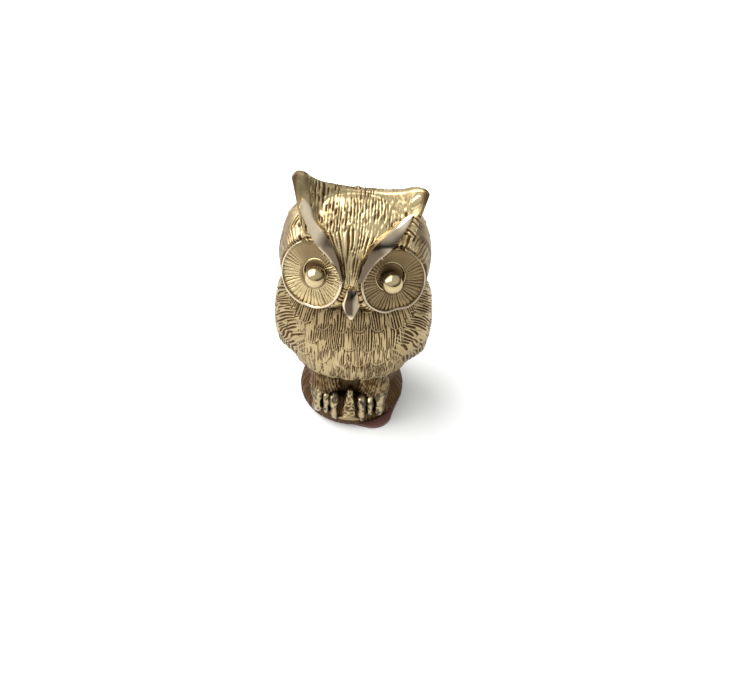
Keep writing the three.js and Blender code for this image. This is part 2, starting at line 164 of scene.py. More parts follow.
def turn(name: str, outline: Sequence[tuple[float, float]], steps: int = 128) -> Object:
    """Turn an outline of (radius, height) about the upright axis into a closed piece.

    Args:
        name: the piece's name.
        outline: points from the axis, or a closed outline clear of it.
        steps: number of facets round the piece.

    Returns:
        The turned piece.
    """
    deselect_all()
    bpy.ops.mesh.primitive_circle_add(vertices=len(outline), radius=1)
    piece = bpy.context.object
    piece.name = piece.data.name = name
    set_points(piece, np.array([(radius, 0.0, height) for radius, height in outline]))
    select_only(piece)
    bpy.ops.object.mode_set(mode="EDIT")
    bpy.ops.mesh.select_all(action="SELECT")
    bpy.ops.mesh.spin(steps=steps, angle=2 * math.pi, center=(0, 0, 0), axis=(0, 0, 1))
    bpy.ops.object.mode_set(mode="OBJECT")
    recalculate_normals(piece)
    return piece


def fuse(name: str, parts: Sequence[Object], smoothing: int) -> Object:
    """Melt overlapping forms into one skin of even small faces and smooth it.

    Args:
        name: the name of the fused piece.
        parts: closed forms that overlap.
        smoothing: number of smoothing passes.

    Returns:
        The fused piece.
    """
    deselect_all()
    for part in parts:
        part.select_set(True)
    bpy.context.view_layer.objects.active = parts[0]
    if len(parts) > 1:
        bpy.ops.object.join()
    skin = bpy.context.view_layer.objects.active
    skin.name = skin.data.name = name
    apply_modifier(skin, "REMESH", mode="VOXEL", voxel_size=VOXEL)
    apply_modifier(skin, "SMOOTH", factor=0.5, iterations=smoothing)
    return skin


def keep_half(piece: Object, name: str, level: float, front: bool) -> Object:
    """Copy the part of a piece in front of or behind an upright cross plane, closed at the cut."""
    select_only(piece)
    bpy.ops.object.duplicate()
    half = bpy.context.object
    half.name = half.data.name = name
    bpy.ops.object.mode_set(mode="EDIT")
    bpy.ops.mesh.select_all(action="SELECT")
    bpy.ops.mesh.bisect(
        plane_co=(0, level, 0),
        plane_no=(0, 1, 0),
        use_fill=True,
        clear_outer=front,
        clear_inner=not front,
    )
    bpy.ops.object.mode_set(mode="OBJECT")
    return half


def finish_piece(piece: Object, nodes: Iterable[str], finish: "Finish", smooth: float = 180) -> None:
    """Bring a piece to metres, dress it and hand it to the frame.

    Args:
        piece: the piece, in millimetres and in place.
        nodes: the frame nodes that it stands for.
        finish: its finish, which also knows the record's material slot.
        smooth: edges sharper than this angle, in degrees, stay sharp.
    """
    piece.data.transform(Matrix.Scale(MM, 4))
    piece.data.materials.clear()
    piece.data.materials.append(finish.material())
    select_only(piece)
    if smooth >= 180:
        bpy.ops.object.shade_smooth()
    else:
        bpy.ops.object.shade_smooth_by_angle(angle=math.radians(smooth))
    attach(piece, BODY)
    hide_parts(*nodes)
    piece.data.calc_loop_triangles()
    LOG.info("%s: %d triangles", piece.name, len(piece.data.loop_triangles))


# ---------------------------------------------------------------- curves and grain


def through(where: Array, stations: Sequence[float], values: Array) -> Array:
    """A smooth curve through values at stations, with no overshoot.

    Args:
        where: the places to read.
        stations: rising places of the known values.
        values: one row for each station.

    Returns:
        One row for each place.
    """
    xs, ys = np.asarray(stations, float), np.asarray(values, float).reshape(len(stations), -1)
    step = np.diff(xs)[:, None]
    slope = np.diff(ys, axis=0) / step
    tangent = np.zeros_like(ys)
    tangent[0], tangent[-1] = slope[0], slope[-1]
    same_way = slope[:-1] * slope[1:] > 0
    weight_a, weight_b = 2 * step[1:] + step[:-1], step[1:] + 2 * step[:-1]
    with np.errstate(divide="ignore", invalid="ignore"):
        mean = (weight_a + weight_b) / (weight_a / slope[:-1] + weight_b / slope[1:])
    tangent[1:-1] = np.where(same_way, np.nan_to_num(mean), 0)
    place = np.clip(np.asarray(where, float).ravel(), xs[0], xs[-1])
    index = np.clip(np.searchsorted(xs, place, side="right") - 1, 0, len(xs) - 2)
    width = step[index]
    part = ((place - xs[index]) / width[:, 0])[:, None]
    square, cube = part**2, part**3
    return (
        (2 * cube - 3 * square + 1) * ys[index]
        + (cube - 2 * square + part) * width * tangent[index]
        + (3 * square - 2 * cube) * ys[index + 1]
        + (cube - square) * width * tangent[index + 1]
    )


def read_rows(where: Array, stations: Array, rows: Array) -> Array:
    """Rows read between stations, along straight lines."""
    return np.stack([np.interp(where, stations, column) for column in rows.T], axis=1)


def unit_rows(rows: Array) -> Array:
    """Rows scaled to length one."""
    return rows / np.linalg.norm(rows, axis=1)[:, None]


def ease(low: float, high: float, value: Array) -> Array:
    """A smooth step from 0 at low to 1 at high."""
    part = np.clip((value - low) / (high - low), 0, 1)
    return part * part * (3 - 2 * part)


def chance(column: Array, row: Array, seed: int) -> Array:
    """A fixed number from 0 to 1 for each pair of whole numbers."""
    mixed = column.astype(np.int64) * 374761393 + row.astype(np.int64) * 668265263 + seed * 974711
    mixed = (mixed ^ (mixed >> 13)) * 1274126177
    mixed = (mixed ^ (mixed >> 16)) & 0xFFFFFF
    return mixed / float(0xFFFFFF)


def mottle(across: Array, along: Array, seed: int) -> Array:
    """Soft random hills from 0 to 1, about one for each unit of both coordinates."""
    column, row = np.floor(across), np.floor(along)
    fraction_a, fraction_b = ease(0, 1, across - column), ease(0, 1, along - row)
    low = chance(column, row, seed) * (1 - fraction_a) + chance(column + 1, row, seed) * fraction_a
    high = (
        chance(column, row + 1, seed) * (1 - fraction_a)
        + chance(column + 1, row + 1, seed) * fraction_a
    )
    return low * (1 - fraction_b) + high * fraction_b


def strokes(across: Array, along: Array, pitch: float, length: float, seed: int) -> Array:
    """Gouge strokes: grooves between rounded strands, that deepen and fade along their length.

    Args:
        across: distance across the strokes, in mm.
        along: distance along them, in mm.
        pitch: mean width of a strand.
        length: mean length of a stroke.
        seed: picks the pattern.

    Returns:
        Heights from 0 in a groove to 1 on a strand.
    """
    wander = 1.3 * mottle(across / (3.1 * pitch), along / (1.3 * length + 2), seed + 1)
    place = across / pitch + wander
    gouge = np.round(place)
    cut = ease(0, 1, np.clip(1.2 - np.abs(place - gouge) / 0.36, 0, 1))
    travel = along / length + 7 * chance(gouge, np.zeros_like(gouge), seed + 2)
    stretch = np.floor(travel)
    fraction = ease(0, 1, travel - stretch)
    here, next_on = chance(gouge, stretch, seed), chance(gouge, stretch + 1, seed)
    depth = here * (1 - fraction) + next_on * fraction
    strand = chance(np.floor(place), np.floor(along / (1.6 * length)), seed + 3)
    return (1 - cut * (0.25 + 0.75 * ease(0.2, 0.5, depth))) * (0.78 + 0.22 * strand)


def hollow(strand: Array, low: float, high: float) -> Array:
    """How much of a groove a place is: 1 where strands are below low, and 0 above high."""
    return np.clip((high - strand) / (high - low), 0, 1)


def shingles(
    across: Array, along: Array, width: float, row: float, bow: float, seed: int
) -> tuple[Array, Array, Array, Array]:
    """Overlapping round-ended feathers, each row lying over the next one down.

    Args:
        across: distance across the rows, in mm.
        along: distance down the rows, in mm.
        width: width of a feather.
        row: distance from row to row.
        bow: how far a feather's middle reaches below its corners.
        seed: picks the small differences between feathers.

    Returns:
        Four arrays: the height from 0 at a feather's root to 1 at its tip, the distance to its
        own edge, the distance from its middle line, and the distance from the edge above it.
    """
    height = np.zeros_like(across)
    margin = np.zeros_like(across)
    offset = np.zeros_like(across)
    exposed = np.full(across.shape, row)
    open_ground = np.ones(across.shape, bool)
    first = np.floor(along / row)
    for below in range(3):
        level = first + below
        shift = 0.5 * np.mod(level, 2)
        column = np.floor(across / width + shift)
        middle = (column + 0.5 - shift) * width
        uneven = 0.22 * row * (chance(column, level, seed) - 0.5)
        aside = across - middle
        edge = (level + 1) * row + uneven - bow * np.abs(2 * aside / width) ** 2.3
        covered = open_ground & (along < edge)
        gap = edge - along
        height = np.where(covered, np.clip(1 - gap / (1.5 * row), 0, 1), height)
        margin = np.where(covered, gap, margin)
        offset = np.where(covered, aside, offset)
        open_ground &= ~covered
        exposed = np.where(open_ground, np.minimum(exposed, along - edge), exposed)
    return height, margin, offset, exposed


# ---------------------------------------------------------------- finishes


def linear(colour: str) -> tuple[float, float, float, float]:
    """An sRGB hex colour as linear red, green, blue and alpha."""
    values = [int(colour[i : i + 2], 16) / 255 for i in (1, 3, 5)]
    red, green, blue = (v / 12.92 if v <= 0.04045 else ((v + 0.055) / 1.055) ** 2.4 for v in values)
    return red, green, blue, 1.0


def add_node(
    tree: bpy.types.NodeTree,
    kind: str,
    inputs: dict[str | int, object] | None = None,
    out: int | str = 0,
    **settings: object,
) -> bpy.types.NodeSocket | None:
    """Add a node to a tree.

    Args:
        tree: the node tree.
        kind: the node's type name, after ShaderNode.
        inputs: for each input socket, a value or the output socket that feeds it.
        out: which of its output sockets is wanted.
        settings: properties of the node.

    Returns:
        The output socket, or None where the node has none.
    """
    node = tree.nodes.new("ShaderNode" + kind)
    for key, value in settings.items():
        setattr(node, key, value)
    for key, value in (inputs or {}).items():
        if isinstance(value, bpy.types.NodeSocket):
            tree.links.new(value, node.inputs[key])
        else:
            node.inputs[key].default_value = value
    return node.outputs[out] if node.outputs else None


def new_material(name: str) -> tuple[bpy.types.Material, bpy.types.NodeTree]:
    """An empty material that uses nodes, and its tree."""
    material = bpy.data.materials.new(name)
    material.use_nodes = True
    material.node_tree.nodes.clear()
    return material, material.node_tree


def close_material(tree: bpy.types.NodeTree, shader: bpy.types.NodeSocket) -> None:
    """Link a shader to a material's output."""
    add_node(tree, "OutputMaterial", {"Surface": shader})


@dataclass(frozen=True)
class ChasedGold:
    """Pale gold plate over chased bronze, bright on the strands and brown in the grooves.

    Electroplated, then dulled with age: the raised metal mirrors softly, and tarnish gathers
    where a cloth can't reach.
    """

    name: str = "chased_gold_plate"
    slot: str = "textured_plate"
    bright: str = "#E2D0A4"
    plain: str = "#C2AB7C"
    # Tarnish in the grooves. Through the shade attribute, the same colour also paints shade and dark
    # reflections.
    tarnish_and_shade: str = "#4A3119"
    roughness: float = 0.22
    dark_roughness: float = 0.5
    cloud_mm: float = 4
    grain_mm: float = 0.36  # fine tooling, drawn as coarse as it needs to show

    def build(self) -> bpy.types.Material:
        """Make the material. It reads the attributes groove and shade."""
        material, tree = new_material(self.name)
        place = add_node(tree, "TexCoord", out="Object")
        groove = add_node(tree, "Attribute", out="Fac", attribute_name="groove")
        shade = add_node(tree, "Attribute", out="Fac", attribute_name="shade")
        cloud = add_node(
            tree,
            "TexNoise",
            {"Vector": place, "Scale": 1 / (self.cloud_mm * MM), "Detail": 3.0, "Roughness": 0.6},
        )
        tooling = add_node(
            tree, "TexNoise", {"Vector": place, "Scale": 1 / (self.grain_mm * MM), "Detail": 2.0}
        )
        metal = add_node(
            tree, "Mix", {0: cloud, 6: linear(self.plain), 7: linear(self.bright)}, 2, data_type="RGBA"
        )
        dark = add_node(
            tree,
            "MapRange",
            {0: groove, 1: 0.25, 2: 0.8, 3: 0.0, 4: 0.95}, interpolation_type="SMOOTHSTEP",
        )
        clean = add_node(tree, "Math", {0: 1.0, 1: dark}, operation="SUBTRACT")
        # The shade attribute mixes in tarnish together with painted shade and painted dark reflections on
        # lower, turned-away and overhung parts.
        kept = add_node(tree, "Math", {0: 1.0, 1: shade}, operation="SUBTRACT")
        bare = add_node(tree, "Math", {0: clean, 1: kept}, operation="MULTIPLY")
        dim = add_node(tree, "Math", {0: 1.0, 1: bare}, operation="SUBTRACT")
        colour = add_node(tree, "Mix", {0: dim, 6: metal, 7: linear(self.tarnish_and_shade)}, 2, data_type="RGBA")
        rough = add_node(
            tree, "MapRange", {0: dim, 1: 0.0, 2: 1.0, 3: self.roughness, 4: self.dark_roughness}
        )
        bump = add_node(tree, "Bump", {"Strength": 0.35, "Distance": 0.03 * MM, "Height": tooling})
        shader = add_node(
            tree,
            "BsdfPrincipled",
            {"Base Color": colour, "Metallic": 1.0, "Roughness": rough, "Normal": bump},
        )
        close_material(tree, shader)
        return material


@dataclass(frozen=True)
class PolishedGold:
    """Burnished gold plate: a near mirror with faint waves and a little haze."""

    name: str = "polished_gold_plate"
    colour: str = "#DDCBA0"
    worn: str = "#C4AE80"
    tarnish_and_shade: str = "#33282A"  # the violet brown of a thin film of tarnish, which also paints shade and dark reflections
    roughness: float = 0.1
    wave_mm: float = 2.5
    dulling: float = 0.2  # how much rougher tarnish and painted shade make it
    slot: str = "polished_plate"

    def build(self) -> bpy.types.Material:
        """Make the material. It reads the attribute shade: the depth of the tarnish and of the painted
        shade and painted dark reflections.
        """
        material, tree = new_material(self.name)
        place = add_node(tree, "TexCoord", out="Object")
        shade = add_node(tree, "Attribute", out="Fac", attribute_name="shade")
        cloud = add_node(
            tree, "TexNoise", {"Vector": place, "Scale": 1 / (self.wave_mm * MM), "Detail": 3.0}
        )
        colour = add_node(
            tree, "Mix", {0: cloud, 6: linear(self.worn), 7: linear(self.colour)}, 2, data_type="RGBA"
        )
        filmed = add_node(
            tree, "Mix", {0: shade, 6: colour, 7: linear(self.tarnish_and_shade)}, 2, data_type="RGBA"
        )
        rough = add_node(
            tree, "MapRange", {0: cloud, 1: 0.3, 2: 0.7, 3: self.roughness * 0.7, 4: self.roughness * 1.5}
        )
        dulled = add_node(tree, "Math", {0: shade, 1: self.dulling, 2: rough}, operation="MULTIPLY_ADD")
        bump = add_node(tree, "Bump", {"Strength": 0.25, "Distance": 0.02 * MM, "Height": cloud})
        shader = add_node(
            tree,
            "BsdfPrincipled",
            {"Base Color": filmed, "Metallic": 1.0, "Roughness": dulled, "Normal": bump},
        )
        close_material(tree, shader)
        return material


@dataclass(frozen=True)
class RolledMetal:
    """Plain rolled or turned metal, with the fine straight marks of its making."""

    name: str
    slot: str
    colour: str
    roughness: float
    mark_mm: float = 0.15

    def build(self) -> bpy.types.Material:
        """Make the material."""
        material, tree = new_material(self.name)
        place = add_node(tree, "TexCoord", out="Object")
        stretched = add_node(
            tree,
            "Mapping",
            {"Vector": place, "Scale": (0.05 / (self.mark_mm * MM), 1 / (self.mark_mm * MM), 1.0)},
        )
        marks = add_node(tree, "TexNoise", {"Vector": stretched, "Scale": 1.0, "Detail": 2.0})
        rough = add_node(
            tree, "MapRange", {0: marks, 1: 0.3, 2: 0.7, 3: self.roughness * 0.8, 4: self.roughness * 1.3}
        )
        shader = add_node(
            tree,
            "BsdfPrincipled",
            {"Base Color": linear(self.colour), "Metallic": 1.0, "Roughness": rough},
        )
        close_material(tree, shader)
        return material


@dataclass(frozen=True)
class PressedFelt:
    """Pressed wool felt, dyed dark red-brown: matt, with a soft nap of short fibres."""

    name: str = "pressed_wool_felt"
    slot: str = "felt"
    colour: str = "#7C4C42"
    dark: str = "#482A24"
    fibre_mm: float = 0.25  # drawn coarser than real wool, so that it shows

    def build(self) -> bpy.types.Material:
        """Make the material."""
        material, tree = new_material(self.name)
        place = add_node(tree, "TexCoord", out="Object")
        fibres = add_node(
            tree, "TexNoise", {
                "Vector": place, "Scale": 1 / (self.fibre_mm * MM), "Detail": 4.0, "Roughness": 0.7,
                "Distortion": 1.2,
            }
        )
        colour = add_node(
            tree, "Mix", {0: fibres, 6: linear(self.dark), 7: linear(self.colour)}, 2, data_type="RGBA"
        )
        bump = add_node(tree, "Bump", {"Strength": 0.8, "Distance": 0.1 * MM, "Height": fibres})
        shader = add_node(
            tree, "BsdfPrincipled", {
                "Base Color": colour, "Roughness": 0.95, "Sheen Weight": 0.35, "Sheen Roughness": 0.5,
                "Normal": bump,
            }
        )
        close_material(tree, shader)
        return material


class Finish(Enum):
    """The finishes on the owl."""

    CHASED = ChasedGold()
    POLISHED = PolishedGold()
    BURNISHED = PolishedGold("burnished_pale_plate", "#EADBC2", "#CFBB9A", "#3A2C22", dulling=0.05)
    SHEET = RolledMetal("rolled_brass_sheet", "sheet_brass", "#B8944E", 0.32)
    ZINC = RolledMetal("zinc_plated_steel", "screw_steel", "#A7A7A4", 0.3)
    FELT = PressedFelt()

    def material(self) -> bpy.types.Material:
        """The finish's material, made when it is first asked for."""
        return bpy.data.materials.get(self.value.name) or self.value.build()


# ---------------------------------------------------------------- forms


@dataclass(frozen=True)
class Form:
    """A rounded form through level sections.

    Attributes:
        rows: (height, half width, depth ahead, depth behind) from the bottom to the top, where
            the first and the last row have no width.
        power: 2 gives elliptic sections, and more gives squarer ones.
    """

    rows: tuple[tuple[float, float, float, float], ...]
    power: float = 2.25

    def build(self, name: str) -> Object:
        """Shape a ball into the form."""
        ball = new_ball(name, 144, 112)
        unit = points_of(ball)
        table = np.array(self.rows)
        travel = np.hypot(np.diff(table[:, 0]), np.diff(table[:, 1]))
        stations = np.concatenate([[0], np.cumsum(travel)])
        level = through(way_down(-unit) * stations[-1], stations, table)
        across, ahead = around_axis(unit)
        bend = 2 / self.power
        depth = np.where(ahead < 0, level[:, 2], level[:, 3])
        points = np.stack(
            [
                np.sign(across) * np.abs(across) ** bend * level[:, 1],
                np.sign(ahead) * np.abs(ahead) ** bend * depth,
                level[:, 0],
            ],
            axis=1,
        )
        at_pole = np.hypot(unit[:, 0], unit[:, 1]) < 1e-6
        points[at_pole, 0] = points[at_pole, 1] = 0
        set_points(ball, points)
        return ball

    def half_width(self, y: Array, z: Array, grow: float = 0) -> Array:
        """How far the form reaches to the side at places given by y and z."""
        table = np.array(self.rows[1:-1])
        level = through(z, table[:, 0], table)
        depth = np.where(y < 0, level[:, 2], level[:, 3]) + grow
        part = np.clip(np.abs(y) / depth, 0, 1)
        return (level[:, 1] + grow) * (1 - part**self.power) ** (1 / self.power)


@dataclass
class Ridge:
    """A smooth ridge that lies along a line on a skin and tapers to both ends.

    Attributes:
        line: points that the ridge follows, which are dropped on to the skin.
        widths: half width at even steps along it.
        heights: height off the skin at the same steps.
        sunk: how far its foot lies under the skin, where it is a millimetre high or more.
    """

    line: Array
    widths: Sequence[float]
    heights: Sequence[float]
    sunk: float = 0.8

    def build(self, name: str, skin: BVHTree, sides: int = 16, steps: int = 220) -> Object:
        """Loft the ridge from a ball.

        Args:
            name: the piece's name.
            skin: the surface that the ridge lies on.
            sides: facets round the section.
            steps: rings along the ridge.

        Returns:
            The ridge, closed, with its foot a little under the skin.
        """
        ball = new_ball(name, sides, steps)
        unit = points_of(ball)
        travel = np.cumsum(np.linalg.norm(np.diff(self.line, axis=0), axis=1))
        travel = np.concatenate([[0], travel])
        fine = through(np.linspace(0, travel[-1], 161), travel, self.line)
        dropped, facing = drop_on(skin, fine)
        facing, dropped = smooth_rows(facing, 12), smooth_rows(dropped, 6)
        share = way_down(unit)
        at = np.linspace(0, 1, len(dropped))
        normal = unit_rows(read_rows(share, at, facing))
        side = unit_rows(np.cross(read_rows(share, at, np.gradient(dropped, axis=0)), normal))
        across, off = around_axis(unit)
        steps_at = np.linspace(0, 1, len(self.widths))
        width = through(share, steps_at, np.array(self.widths))[:, 0]
        height = through(share, steps_at, np.array(self.heights))[:, 0]
        lift = off * np.where(off > 0, height, self.sunk * np.minimum(1, height))
        at_end = unit[:, 0] ** 2 + unit[:, 1] ** 2 < 1e-9
        width[at_end] = lift[at_end] = 0
        spread = side * (across * width)[:, None]
        set_points(ball, read_rows(share, at, dropped) + spread + normal * lift[:, None])
        recalculate_normals(ball)
        return ball


@dataclass
class Blade:
    """A bar with long facets, which meet in lines that run from one end to the other.

    Attributes:
        lines: the lines side by side, each from the same end.
        lifts: how far each line stands off the skin at even steps along it.
        way: the direction of the lifts.
        sunk: how far the foot lies behind the unlifted lines.
        crown: how much each facet bulges.
    """

    lines: Sequence[Sequence[tuple[float, float, float]]]
    lifts: Sequence[Sequence[float]]
    way: tuple[float, float, float] = (0.05, -0.76, 0.65)
    sunk: float = 0.9
    crown: float = 0.1

    def build(self, name: str, steps: int = 120, fine: int = 8) -> tuple[Object, Array, Array]:
        """Wrap a ball round the bar.

        Args:
            name: the piece's name.
            steps: rings from end to end.
            fine: facets across each long facet.

        Returns:
            The closed bar, and for each of its points the number of lines that lie beside it and
            its share of the way along them.
        """
        facets = len(self.lines) - 1
        ball = new_ball(name, 2 * facets * fine, steps)
        unit = points_of(ball)
        share = way_down(unit)
        at_end = np.hypot(unit[:, 0], unit[:, 1]) < 1e-6
        turned = np.mod(np.arctan2(unit[:, 1], unit[:, 0]), 2 * math.pi)
        turned = np.where(at_end, 0.5 * math.pi, turned)
        on_top = turned <= math.pi + 1e-6
        across = np.where(on_top, turned / math.pi, 2 - turned / math.pi) * facets
        way = np.array(self.way) / np.linalg.norm(self.way)
        even = np.linspace(0, 1, 121)
        low, high = [], []
        for line, lift in zip(self.lines, self.lifts):
            route = through(even, np.linspace(0, 1, len(line)), np.array(line, float))
            rise = through(even, np.linspace(0, 1, len(lift)), np.array(lift, float))
            low.append(read_rows(share, even, route))
            high.append(low[-1] + np.interp(share, even, rise[:, 0])[:, None] * way)
        first = np.clip(np.floor(across).astype(int), 0, facets - 1)
        part = across - first
        rows = np.arange(len(unit))
        low, high = np.array(low), np.array(high)
        foot = low[first, rows] * (1 - part)[:, None] + low[first + 1, rows] * part[:, None]
        top = high[first, rows] * (1 - part)[:, None] + high[first + 1, rows] * part[:, None]
        bulge = self.crown * 4 * part * (1 - part) * np.clip(8 * share * (1 - share), 0, 1)
        top = top + bulge[:, None] * way
        foot = foot - self.sunk * way
        set_points(ball, np.where(on_top[:, None], top, foot))
        recalculate_normals(ball)
        return ball, across, share


def drop_on(skin: BVHTree, points: Array) -> tuple[Array, Array]:
    """The nearest places on a skin to each point, and the way that the skin faces there."""
    found = [skin.find_nearest(Vector(point)) for point in points]
    return (np.array([hit[0] for hit in found], float), np.array([hit[1] for hit in found], float))


def smooth_rows(rows: Array, passes: int) -> Array:
    """Even out the rows of a line without moving its ends."""
    rows = rows.copy()
    for _ in range(passes):
        rows[1:-1] = 0.5 * rows[1:-1] + 0.25 * (rows[:-2] + rows[2:])
    return rows


def skin_of(piece: Object) -> BVHTree:
    """A piece's surface for finding places on it."""
    mesh = piece.data
    vertices = [vertex.co.copy() for vertex in mesh.vertices]
    return BVHTree.FromPolygons(vertices, [tuple(face.vertices) for face in mesh.polygons])


def distance_to_line(points: Array, line: Array) -> Array:
    """Each point's distance to a line of points."""
    best = np.full(len(points), np.inf)
    for start, end in zip(line[:-1], line[1:]):
        step = end - start
        part = np.clip((points - start) @ step / max(step @ step, 1e-12), 0, 1)
        best = np.minimum(best, np.linalg.norm(points - start - part[:, None] * step, axis=1))
    return best


def emboss(piece: Object, height: Array, groove: Array, shade: Array | float) -> None:
    """Raise a skin along its normals and store where it is grooved and shaded.

    Args:
        piece: the skin.
        height: how far each point moves out, in mm.
        groove: 1 in the bottoms of the strokes.
        shade: share of tarnish and painted shade that the region has besides.
    """
    set_points(piece, points_of(piece) + normals_of(piece) * height[:, None])
    set_attribute(piece, "groove", groove)
    set_attribute(piece, "shade", np.broadcast_to(shade, groove.shape))


# ---------------------------------------------------------------- head


@dataclass(frozen=True)
class EyePlan:
    """Where one eye's parts are, and their painted shade and tarnish. The casting's two sides differ a
    little.

    Attributes:
        centre: the middle of the disc.
        half: half the disc's width and height.
        ring: the ring's place from there, across toward the beak and up.
        ring_radius: the ring's outer radius.
        ball: the ball's place, given like the ring's.
        tarnish_and_painted_shade: darkening of the disc's rays: painted shade over the left disc, which
            faces away from the light, and tarnish on the right one.
        top_painted_shade: painted shade on the disc's plain top, under the brow.
        rim_painted_shade: painted shade on the disc's rim, most on the left.
    """

    centre: tuple[float, float, float]
    half: tuple[float, float]
    ring: tuple[float, float]
    ring_radius: float
    ball: tuple[float, float]
    tarnish_and_painted_shade: float
    top_painted_shade: float
    rim_painted_shade: float


@dataclass(frozen=True)
class EarHollow:
    """The smooth hollow in the front of an ear, which leans outward.

    Attributes:
        centre: its middle, across and up.
        half: half its width and height.
        clear: half the width and height that stay unchased round it.
        depth: how deep it is.
    """

    centre: tuple[float, float]
    half: tuple[float, float]
    clear: tuple[float, float]
    depth: float

    def reach(self, points: Array, half: tuple[float, float]) -> Array:
        """Each point's share of the way from the middle to an edge of the given half sizes."""
        lean = 0.28 * np.sign(self.centre[0])
        up = points[:, 2] - self.centre[1]
        aside = points[:, 0] - self.centre[0] - lean * up
        return np.hypot(aside / half[0], up / half[1])


@dataclass(frozen=True)
class BrowPlan:
    """The three lines of a brow's facets, from the ear to the beak.

    Attributes:
        outer: the edge over the eye.
        crest: the line between the two facets.
        inner: the edge on the forehead.
        lifts: how far each of them stands off the head.
    """

    outer: tuple[tuple[float, float, float], ...]
    crest: tuple[tuple[float, float, float], ...]
    inner: tuple[tuple[float, float, float], ...]
    lifts: tuple[tuple[float, ...], ...]


EYES = {
    Side.RIGHT: EyePlan(
        (-8.6, -11.0, 47.5), (6.8, 7.5), (0.6, 0.9), 2.95, (1.5, 0.4),
        tarnish_and_painted_shade=0.18, top_painted_shade=0.68, rim_painted_shade=0.1,
    ),
    Side.LEFT: EyePlan(
        (9.05, -11.1, 47.2), (6.9, 7.2), (0.5, 1.1), 3.4, (0.75, 0.4),
        tarnish_and_painted_shade=0.68, top_painted_shade=0.4, rim_painted_shade=0.45,
    ),
}
EAR_HOLLOWS = (
    EarHollow(centre=(-11.3, 62.4), half=(1.6, 3.2), clear=(1.9, 3.5), depth=0.5),
    EarHollow(centre=(12.5, 62.2), half=(1.1, 2.2), clear=(1.3, 2.5), depth=0.7),
)
LEFT_BROW_LIFTS = (
    (0.25, 0.75, 1.1, 1.4, 1.5, 1.2, 0.8),
    (0.45, 1.1, 1.6, 1.9, 1.9, 1.5, 1.0),
    (0.1, 0.1, 0.15, 0.2, 0.2, 0.2, 0.3),
)
RIGHT_BROW_LIFTS = (
    (0.3, 1.0, 1.5, 1.8, 1.8, 1.4, 0.9),
    (0.5, 1.1, 1.5, 1.8, 1.8, 1.4, 1.0),
    (0.1, 0.1, 0.15, 0.2, 0.2, 0.2, 0.3),
)
BROWS = {
    Side.RIGHT: BrowPlan(
        outer=(
            (-11.6, -4.6, 60.2), (-10.3, -6.1, 57.8), (-8.8, -7.6, 54.6), (-7.2, -8.4, 52.4),
            (-5.4, -9.4, 51.3), (-3.3, -11, 49.6), (-2.2, -12.3, 47.4),
        ),
        crest=(
            (-11.2, -4.3, 61.1), (-9.6, -5.0, 59.1), (-7.7, -5.7, 57), (-5.9, -7.3, 55.7),
            (-4.3, -8.9, 54.3), (-2.6, -11.1, 50.9), (-1.8, -12.4, 47.6),
        ),
        inner=(
            (-10.7, -3.8, 62.2), (-8.6, -4.3, 59.6), (-7.0, -5.4, 57.2), (-5.3, -7, 56.1),
            (-3.8, -9, 54.3), (-2.1, -11, 51.5), (-1.3, -12.4, 48),
        ),
        lifts=RIGHT_BROW_LIFTS,
    ),
    Side.LEFT: BrowPlan(
        outer=(
            (12.3, -4.7, 60), (10.7, -6.2, 57.3), (9.4, -7.3, 54.9), (7.7, -8.4, 52.7),
            (5.5, -9.6, 51.1), (3.9, -10.9, 49.5), (2.5, -12.4, 47.4),
        ),
        crest=(
            (11.9, -4.6, 60.2), (9.8, -5.3, 58.1), (7.6, -6.1, 56.5), (5.1, -8.1, 55),
            (3.6, -9.7, 53.5), (2.4, -11.2, 51), (1.7, -12.5, 47.8),
        ),
        inner=(
            (11.3, -4.5, 60.3), (8.9, -5, 58.3), (6.9, -5.9, 56.9), (4.6, -7.7, 55.6),
            (2.9, -9.4, 54), (1.6, -11.3, 51.2), (1.2, -12.5, 48.2),
        ),
        lifts=LEFT_BROW_LIFTS,
    ),
}
BEAK_LINES = (
    (
        (-0.9, -13.1, 46.7), (-1.4, -13.6, 44.9), (-1.9, -14.0, 43.0), (-1.5, -14.2, 41.0),
        (-0.7, -14.2, 39.1), (0.1, -14.3, 38.2),
    ),
    (
        (-0.1, -13.5, 47.2), (-0.4, -14.5, 45.6), (-0.8, -15.2, 43.6), (-0.6, -15.4, 41.4),
        (-0.1, -15.0, 39.5), (0.2, -14.3, 38.1),
    ),
    (
        (0.6, -13.5, 47.2), (0.9, -14.4, 45.4), (1.3, -15.1, 43.2), (1.2, -15.3, 41.2),
        (0.8, -15.0, 39.5), (0.4, -14.3, 38.1),
    ),
    (
        (1.5, -13.1, 46.8), (2.0, -13.6, 44.9), (2.3, -13.9, 42.6), (1.8, -14.1, 40.8),
        (1.0, -14.2, 39.0), (0.5, -14.3, 38.2),
    ),
)


